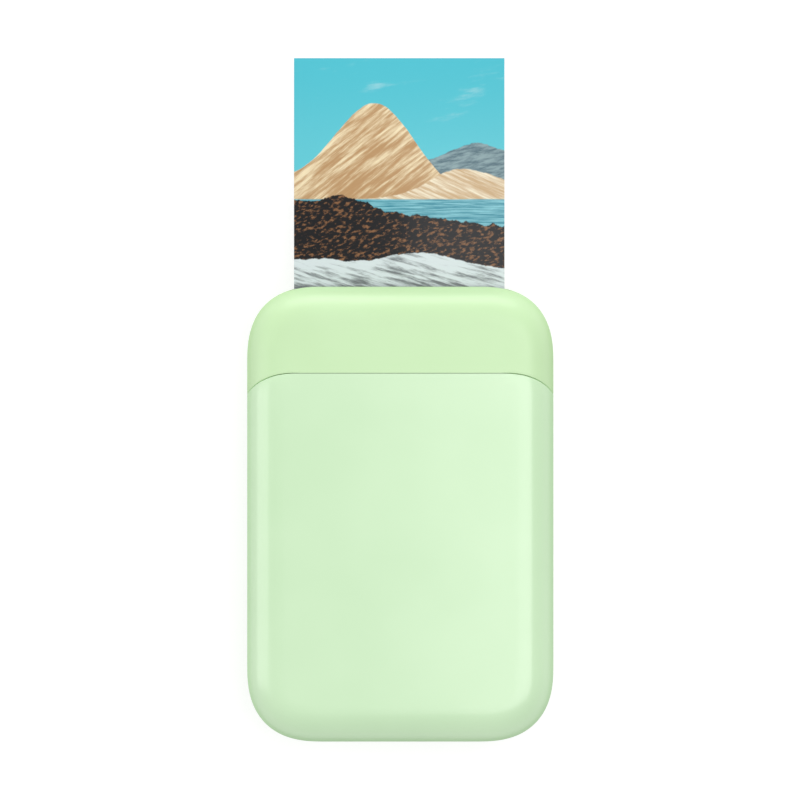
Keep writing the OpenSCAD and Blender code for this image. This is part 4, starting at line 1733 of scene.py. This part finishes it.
@dataclass(frozen=True)
class PrintFinish:
    """Glossy photo paper with a made-up landscape of dunes, a lake, dark rocks and surf."""

    name: str = "print_gloss"
    sky_top: Colour = (78, 188, 203)
    sky_low: Colour = (98, 198, 210)
    haze: Colour = (206, 229, 230)
    paper: Colour = (246, 246, 243)
    # Height along the print where the sky is palest, and where it is deepest
    sky_foot: float = 80.0
    sky_head: float = 110.8
    # Thin clouds: their pattern, the values of it between which they show, and their strength
    wisps: Pattern = Pattern(1.0, detail=5, stretch=(0.05, 0.2, 1), rough=0.55, turn=8)
    wisp_cut: Point = (0.6, 0.85)
    wisp_most: float = 0.7
    # Roughness of the bare paper and of the picture, and the coating's other values
    bare: float = 0.7
    roughness: float = 0.34
    specular: float = 0.2
    coat: float = 0.1
    coat_roughness: float = 0.12
    # The coating's texture and its height
    texture: Pattern = Pattern(0.3, detail=4)
    depth: float = 0.002
    layers: tuple[Ridge, ...] = (
        Ridge(height=84.0, slope=0.05, swell=(4.5, 9.0, 18.0), rough=2.6, grain=5.0,
              light=(140, 164, 168), dark=(86, 112, 122), streak=(3.2, 0.7, 12)),
        Ridge(height=77.5, slope=-0.10, swell=(21.0, 13.5, -6.0), rough=1.6, grain=9.0,
              light=(240, 224, 186), dark=(184, 146, 102), streak=(9.0, 0.9, 38), fall=0.006),
        Ridge(height=76.5, slope=0.06, swell=(6.0, 11.0, 15.0), rough=1.8, grain=7.0,
              light=(242, 232, 206), dark=(200, 170, 130), streak=(10.0, 0.8, -24), fall=0.010),
        Ridge(height=76.0, slope=0.0, swell=(0.0, 9.0, 0.0), rough=0.3, grain=6.0,
              light=(134, 198, 208), dark=(58, 136, 154), streak=(7.0, 0.3, 0)),
        Ridge(height=72.5, slope=-0.12, swell=(2.6, 7.0, -14.0), rough=3.2, grain=3.0,
              light=(134, 94, 62), dark=(12, 12, 15), streak=(1.3, 0.7, 18), cut=(0.5, 0.66)),
        Ridge(height=60.5, slope=-0.05, swell=(3.0, 10.0, 6.0), rough=2.2, grain=5.0,
              light=(214, 224, 226), dark=(112, 118, 120), streak=(7.0, 0.9, -16),
              cut=(0.26, 0.52), fall=0.016),
    )

    def make(self) -> bpy.types.Material:
        """Build the material: the picture on the front, bare paper on the back and edges.

        Returns:
            The material.
        """
        sheet = Sheet(self.name)
        x, y = sheet.axis("X"), sheet.axis("Y")
        depth = sheet.ramp(y, self.sky_foot, self.sky_head)
        colour = sheet.blend(depth, linear(self.sky_low), linear(self.sky_top))
        wisps = sheet.ramp(self.wisps.draw(sheet), *self.wisp_cut, 0.0, self.wisp_most)
        colour = sheet.blend(wisps, colour, linear(self.haze))
        for layer in self.layers:
            colour = layer.lay(sheet, x, y, colour)
        facing = sheet.node("ShaderNodeTexCoord").outputs["Normal"]
        split = sheet.node("ShaderNodeSeparateXYZ", {"Vector": facing})
        front = sheet.ramp(split.outputs["Z"], 0.4, 0.6)
        sheet.set(
            Base_Color=sheet.blend(front, linear(self.paper), colour),
            Roughness=sheet.ramp(front, 0.0, 1.0, self.bare, self.roughness),
            Specular_IOR_Level=self.specular, Coat_Weight=self.coat, Coat_Roughness=self.coat_roughness)
        sheet.relief(self.texture.draw(sheet), self.depth)
        return sheet.material


class Palette:
    """Every material of the printer, by the record's slot names."""

    finishes: tuple[Finish | ShellFinish | PrintFinish, ...] = (
        ShellFinish("mint_gloss", colour=(203, 234, 192), shade=(199, 231, 188), roughness=0.32,
                    coat=1.0, coat_roughness=0.2, specular=0.4),
        ShellFinish("mint_satin", colour=(200, 232, 182), shade=(197, 229, 178), roughness=0.42,
                    coat=0.45, coat_roughness=0.35, specular=0.35, peel=0.0008, speck=0.0022),
        Finish("inner_plastic", (229, 232, 230), 0.48, spread=0.008, depth=0.003),
        Finish("black_plastic", (46, 48, 51), 0.5, depth=0.004),
        Finish("rubber_grey", (96, 100, 102), 0.78, Grain.GROUND, depth=0.008),
        Finish("roller_rubber", (70, 73, 76), 0.72, Grain.GROUND, depth=0.012),
        Finish("steel", (196, 198, 201), 0.26, Grain.TURNED, metallic=1.0, depth=0.002),
        Finish("brass", (214, 178, 104), 0.3, Grain.TURNED, metallic=1.0, depth=0.002),
        Finish("aluminium", (206, 209, 212), 0.36, Grain.BRUSHED, metallic=1.0, depth=0.003),
        Finish("gear_nylon", (240, 239, 230), 0.4, depth=0.003, sheen=0.05),
        Finish("ceramic_head", (226, 224, 214), 0.22, Grain.POLISHED, coat=0.4, depth=0.001),
        PrintFinish(),
        Finish("paper_blank", (248, 248, 245), 0.62, Grain.FIBRE, spread=0.015, depth=0.003),
        Finish("board_mask", (36, 98, 68), 0.35, Grain.POLISHED, coat=0.4, depth=0.004),
        Finish("chip_black", (38, 40, 43), 0.55, depth=0.003),
        Finish("flex_amber", (196, 128, 44), 0.3, Grain.BRUSHED, coat=0.5, depth=0.002),
        Finish("battery_foil", (198, 201, 204), 0.34, Grain.CRINKLED, metallic=0.9, depth=0.03),
        Finish("foam_grey", (140, 143, 147), 0.9, Grain.FOAM, depth=0.1),
        Finish("wire_red", (178, 52, 44), 0.45, Grain.POLISHED, depth=0.002),
        Finish("cream_plastic", (236, 232, 220), 0.45, depth=0.003),
        Finish("clear_lens", (236, 244, 244), 0.15, Grain.POLISHED, transmission=0.85, coat=0.4, depth=0.001),
    )
    slots: dict[str, str] = {"print_gloss": "paper_print"}

    def __init__(self) -> None:
        """Build every material."""
        self.made = {self.slots.get(f.name, f.name): f.make() for f in self.finishes}

    def __getitem__(self, slot: str) -> bpy.types.Material:
        """Give the material of a slot."""
        return self.made[slot]


# ---------- Sub-assemblies ----------


@dataclass
class Assembly:
    """A group of pieces that share the palette."""

    palette: Palette
    edges: dict[str, float] = field(default_factory=dict)
    windowed: tuple[str, ...] = ()

    def part(self, node: str) -> tuple[str, str]:
        """Find the body and the material slot of a CAD node.

        Args:
            node: The CAD node.

        Returns:
            The body's name and the slot's name.
        """
        record = frame["record"]
        body = next(name for name, nodes in record["behaviour"]["bodies"].items() if node in nodes)
        slot = next(part["material_slot"] for part in record["subparts"] if part["node"] == node)
        return body, slot

    def finish(self, node: str) -> bpy.types.Material:
        """Give the material of a CAD node's slot."""
        return self.palette[self.part(node)[1]]

    def place(self, piece: bpy.types.Object, node: str, slot: str | None = None) -> bpy.types.Object:
        """Let a finished piece stand for a CAD node.

        Args:
            piece: The finished piece.
            node: The CAD node that it replaces.
            slot: Its material slot, or None for the node's own.

        Returns:
            The same piece.
        """
        body, own = self.part(node)
        slot = slot or own
        piece.data.materials.clear()
        piece.data.materials.append(self.palette[slot])
        piece.data.name = piece.name
        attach(piece, body)
        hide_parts(node)
        log.info("%s: %s for %s", type(self).__name__, piece.name, node)
        return piece

    def wound(self, node: str, wire: float, turns: float) -> tuple[bpy.types.Object, Corners]:
        """Wind the coil springs that stand for a CAD node.

        Args:
            node: The CAD node, with one solid for each spring.
            wire: Radius of the wire.
            turns: Turns of each spring.

        Returns:
            The springs, and the lowest and highest corner of the first.
        """
        found = solids_of(node)
        low, high = found[0]
        coil = Coil((high.x - low.x) / 2 - wire, wire, high.z - low.z, turns)
        feet = [((a.x + b.x) / 2, (a.y + b.y) / 2, a.z) for a, b in found]
        piece = self.place(coil.grow(node + "_skin", feet, self.finish(node)), node)
        return piece, found[0]

    def soften_all(self) -> None:
        """Give each listed CAD node rounded edges and its finish."""
        for node, width in self.edges.items():
            piece = merged_copy(node, node + "_skin", node not in self.windowed)
            self.place(smooth(softened(piece, width) if width else piece, PIECE_CREASE), node)


@dataclass
class Shells(Assembly):
    """Outer shells, foot and hinge pin."""

    casing: Casing = Casing()
    edges: dict[str, float] = field(default_factory=lambda: {
        "foot_ring": 0.3, "hinge_pin": 0.15, "exit_guide": 0.12})

    def build(self) -> None:
        """Build and dress the shells."""
        self.place(self.casing.cover(), "front_cover")
        self.place(self.casing.cap(), "top_cap")
        self.place(self.casing.housing(), "rear_housing")
        self.soften_all()


@dataclass
class PaperPath(Assembly):
    """Tray, bezel, paper, pressure plate with its springs, and the cover's latch."""

    edges: dict[str, float] = field(default_factory=lambda: {
        "chassis": 0.12, "tray_bezel": 0.3, "cover_magnets": 0.12, "keeper_plates": 0.06,
        "pressure_plate": 0.16, "print_sheet": 0.03})
    windowed: tuple[str, ...] = ("chassis", "tray_bezel")
    wire: float = 0.22
    turns: float = 4.0
    # How far the plate lifts
    travel: float = 0.9

    def build(self) -> None:
        """Build the paper path and wind the plate's springs."""
        self.soften_all()
        self.place(Pile().grow("paper_stack_skin", self.finish("paper_stack")), "paper_stack")
        piece, (low, high) = self.wound("plate_springs", self.wire, self.turns)
        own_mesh(piece)


@dataclass
class Drive(Assembly):
    """Pick roller, platen roller, gears and motor."""

    edges: dict[str, float] = field(default_factory=lambda: {
        "pick_shaft": 0.15, "platen_shaft": 0.15, "platen_sleeve": 0.12, "pick_bushings": 0.08,
        "platen_bushings": 0.08, "gear_pins": 0.08, "motor_can": 0.25, "motor_flange": 0.06,
        "pick_gear": 0.05, "platen_gear": 0.05, "drive_gear": 0.05, "idler_gear": 0.05,
        "reduction_gear": 0.05, "motor_pinion": 0.04})

    def build(self) -> None:
        """Build the drive."""
        self.soften_all()
        boxes = solids_of("pick_tyres")
        low, high = boxes[0]
        tyre = Tyre(radius=(high.y - low.y) / 2, width=high.x - low.x)
        middles = [(a + b) / 2 for a, b in boxes]
        self.place(tyre.grow("pick_tyres_skin", middles, self.finish("pick_tyres")), "pick_tyres")


@dataclass
class Head(Assembly):
    """Thermal head with its heat sink, bridge, springs and lead."""

    edges: dict[str, float] = field(default_factory=lambda: {
        "print_head": 0.08, "heat_sink": 0.1, "head_bridge": 0.12, "head_flex": 0.05})
    wire: float = 0.2
    turns: float = 3.6
    # Share of the springs' height that is left at full lift
    kept: float = 0.862

    def build(self) -> None:
        """Build the head and wind its springs."""
        self.soften_all()
        piece, (_, high) = self.wound("head_springs", self.wire, self.turns)
        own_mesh(piece)


@dataclass
class Electronics(Assembly):
    """Board with its parts, data socket, power key, light and battery."""

    edges: dict[str, float] = field(default_factory=lambda: {
        "main_board": 0.1, "board_chips": 0.06, "flex_connector": 0.1, "button_switch": 0.12,
        "button_plunger": 0.1, "power_button": 0.28, "light_pipe": 0.15, "battery": 0.9,
        "battery_pad": 0.0, "battery_lead": 0.1, "battery_plug": 0.12})
    # Free zones of the board, each as two X and two Y
    free: tuple[tuple[float, float, float, float], ...] = (
        (18.6, 22.2, -25.5, -17.6), (25.9, 28.0, -33.0, -12.0), (12.6, 21.6, -19.6, -16.4),
        (19.4, 24.0, -4.8, 1.0), (7.2, 11.2, -10.5, 2.4), (14.6, 21.2, -35.0, -29.2))
    # How far the small parts lie over the board
    lift: float = 0.01
    # Space round the socket's tongue, as two X, two Y and two Z
    tongue: tuple[float, float, float, float, float, float] = (30.05, 35.65, -27.36, -20.64, 7.84, 8.56)
    tongue_edge: float = 0.1
    shell_edge: float = 0.06
    # Contacts of the socket, and how far their middle lies behind the tongue's end
    contacts: Contacts = Contacts(count=12, step=(0, 0.5, 0), size=(2.4, 0.28, 0.05))
    contact_back: float = 2.0
    # A chip's row of feet, how far they stand out of it and over the small parts' level, and the
    # shortest chip that has them
    feet: Contacts = Contacts(count=8, step=(0, 0.55, 0), size=(0.5, 0.22, 0.12))
    foot_out: float = 0.1
    foot_up: float = 0.06
    footed: float = 4.8

    def build(self) -> None:
        """Build the electronics."""
        self.soften_all()
        self.small_parts()
        self.socket()

    def small_parts(self) -> None:
        """Scatter capacitors and resistors over the board and lay the chips' feet."""
        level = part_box("main_board")[1][2] / MM + self.lift
        chips = Chips(self.free, level)
        parts = chips.grow("board_parts", self.palette["cream_plastic"], ends=False)
        self.place(parts, "board_chips", "cream_plastic")
        self.place(chips.grow("board_part_ends", self.palette["steel"], ends=True), "board_chips", "steel")
        feet, starts = self.feet, []
        for low, high in solids_of("board_chips"):
            if high.y - low.y > self.footed:
                y = (low.y + high.y - feet.step[1] * (feet.count - 1)) / 2
                sides = (low.x - self.foot_out, high.x + self.foot_out)
                starts += [(x, y, level + self.foot_up) for x in sides]
        self.place(feet.grow("chip_feet", starts, self.palette["steel"]), "board_chips", "steel")

    def socket(self) -> None:
        """Split the data socket into shell, tongue and contacts."""
        x0, x1, y0, y1, z0, z1 = self.tongue
        reach = [(x0, y0), (x1, y0), (x1, y1), (x0, y1)]
        tongue = boolean(
            merged_copy("usb_socket", "usb_tongue"), prism("reach", reach, z0, z1), "INTERSECT")
        shell = boolean(
            merged_copy("usb_socket", "usb_shell"), prism("reach", reach, z0, z1), "DIFFERENCE")
        self.place(smooth(softened(tongue, self.tongue_edge), PIECE_CREASE), "usb_socket", "black_plastic")
        self.place(smooth(softened(shell, self.shell_edge), PIECE_CREASE), "usb_socket")
        rows = self.contacts
        first = (y0 + y1) / 2 - rows.step[1] * (rows.count - 1) / 2
        places = [(x1 - self.contact_back, first, z) for z in (z0, z1)]
        self.place(rows.grow("usb_contacts", places, self.palette["brass"]), "usb_socket", "brass")


@dataclass
class Fasteners(Assembly):
    """Every screw of the printer."""

    case: Screw = Screw(head=1.6, head_h=1.2, shank=0.8, length=9.0)
    bezel: Screw = Screw(head=1.4, head_h=0.5, shank=0.73, length=4.0)
    board: Screw = Screw(head=1.5, head_h=0.6, shank=0.73, length=3.0)
    motor: Screw = Screw(head=0.9, head_h=0.34, shank=0.45, length=2.4, dome=0.12, thread=0.25)
    # Least width of a motor screw's head, to tell it from the shank
    head_least: float = 1.5

    def build(self) -> None:
        """Drive the screws in."""
        self.drive("case_screws", self.case, 0, 0)
        self.drive("bezel_screws", self.bezel, 1, 180)
        self.drive("board_screws", self.board, 1, 180)
        boxes = [box for box in solids_of("motor_screws") if box[1].y - box[0].y > self.head_least]
        heads = [(low.x, (low.y + high.y) / 2, (low.z + high.z) / 2) for low, high in boxes]
        piece = self.motor.grow("motor_screws_skin", heads, self.finish("motor_screws"), (0, 90, 0))
        self.place(piece, "motor_screws")

    def drive(self, node: str, screw: Screw, end: int, tilt: float) -> None:
        """Drive the screws of a node that points along Z.

        Args:
            node: The CAD node.
            screw: The form of its screws.
            end: 0 if the heads are at the low end, 1 at the high end.
            tilt: Degrees about X from +Z to the way they point.
        """
        boxes = solids_of(node)
        heads = [((box[0].x + box[1].x) / 2, (box[0].y + box[1].y) / 2, box[end].z) for box in boxes]
        self.place(screw.grow(node + "_skin", heads, self.finish(node), (tilt, 0, 0)), node)


@dataclass(frozen=True)
class Panel:
    """A soft light panel, in metres, with its brightness against white paper's."""

    name: str
    place: tuple[float, float, float]
    size: Point
    glow: float
    aim: tuple[float, float, float] = (0.0, 0.01, 0.012)


@dataclass
class Studio:
    """Floor, soft lights, white surroundings and the camera over the printer."""

    # Width of the picture and the middle of its view
    view_width: float = 193.5
    aim: Point = (-0.07, 27.5)
    aim_z: float = 12.0
    lens: float = 180.0
    sensor: float = 36.0
    # Nearest and farthest that the camera sees, in metres
    clip: Point = (0.05, 20.0)
    ambient: float = 0.57
    panels: tuple[Panel, ...] = (
        Panel("over", (0.22, 0.01, 0.62), (0.44, 0.42), 2.4),
        Panel("left", (-0.62, -0.03, 0.31), (0.3, 0.66), 1.45),
        Panel("end", (0.0, 0.68, 0.2), (0.72, 0.42), 2.5),
    )
    floor_half: float = 1.6
    floor_z: float = -0.03
    # Floor's grey for the printer's light, its grey for the camera, and the glow added to that
    floor_grey: float = 0.8
    floor_seen: float = 0.38
    floor_glow: float = 0.72

    def camera(self) -> None:
        """Place the camera straight above, looking down."""
        data = bpy.data.cameras.new("camera")
        data.lens = self.lens
        data.sensor_width = self.sensor
        data.dof.use_dof = False
        data.clip_start, data.clip_end = self.clip
        camera = bpy.data.objects.new("camera", data)
        distance = self.view_width * self.lens / self.sensor
        camera.location = Vector((self.aim[0], self.aim[1], self.aim_z + distance)) * MM
        bpy.context.scene.collection.objects.link(camera)
        bpy.context.scene.camera = camera

    def lights(self) -> None:
        """Hang the panels, each facing the printer and unseen by the camera itself."""
        for panel in self.panels:
            data = bpy.data.lights.new(panel.name, "AREA")
            data.shape = "RECTANGLE"
            data.size, data.size_y = panel.size
            data.energy = panel.glow * math.pi * panel.size[0] * panel.size[1]
            light = bpy.data.objects.new(panel.name, data)
            light.location = panel.place
            aim = Vector(panel.aim) - Vector(panel.place)
            light.rotation_euler = aim.to_track_quat("-Z", "Y").to_euler()
            light.visible_camera = False
            bpy.context.scene.collection.objects.link(light)

    def seen_share(self, tree: Tree) -> Socket:
        """Find whether the camera, a gloss or a glass ray looks.

        Args:
            tree: The node tree to add to.

        Returns:
            1 for those rays and 0 for the others.
        """
        path = tree.node("ShaderNodeLightPath")
        share = path.outputs["Is Camera Ray"]
        for name in ("Is Glossy Ray", "Is Transmission Ray"):
            share = tree.math("MAXIMUM", share, path.outputs[name])
        return share

    def world(self) -> None:
        """Make the white surroundings."""
        world = bpy.data.worlds.new("studio")
        bpy.context.scene.world = world
        world.use_nodes = True
        tree = Tree(world.node_tree)
        values = {"Value": self.seen_share(tree), "To Min": self.ambient}
        strength = tree.node("ShaderNodeMapRange", values).outputs["Result"]
        back = tree.tree.nodes["Background"]
        tree.feed(back.inputs["Color"], (1, 1, 1, 1))
        tree.feed(back.inputs["Strength"], strength)

    def floor(self) -> None:
        """Lay the pale floor."""
        half = self.floor_half / MM
        signs = ((-1, -1), (1, -1), (1, 1), (-1, 1))
        corners = [(half * sx, half * sy, self.floor_z) for sx, sy in signs]
        ground = solid("floor", corners, [(0, 1, 2, 3)])
        material = bpy.data.materials.new("floor_white")
        material.use_nodes = True
        tree = Tree(material.node_tree)
        tree.tree.nodes.clear()
        share = self.seen_share(tree)
        plain, seen = ((grey, grey, grey, 1) for grey in (self.floor_grey, self.floor_seen))
        colour = tree.node("ShaderNodeMix", {"Factor": share, 6: plain, 7: seen}, data_type="RGBA").outputs[2]
        strength = tree.math("MULTIPLY", share, self.floor_glow)
        matt = tree.node("ShaderNodeBsdfDiffuse", {"Color": colour}).outputs["BSDF"]
        glow = tree.node("ShaderNodeEmission", {"Strength": strength}).outputs["Emission"]
        total = tree.node("ShaderNodeAddShader", {0: matt, 1: glow}).outputs["Shader"]
        tree.node("ShaderNodeOutputMaterial", {"Surface": total})
        ground.data.materials.append(material)

    def build(self) -> None:
        """Set up the whole studio."""
        bpy.context.scene.view_settings.view_transform = "Standard"
        self.camera()
        self.world()
        self.lights()
        self.floor()


def main() -> None:
    """Build the studio and every sub-assembly."""
    logging.basicConfig(level=logging.INFO, format="%(name)s: %(message)s")
    Studio().build()
    palette = Palette()
    for kind in (Shells, PaperPath, Drive, Head, Electronics, Fasteners):
        kind(palette).build()


if __name__ == "__main__":
    main()
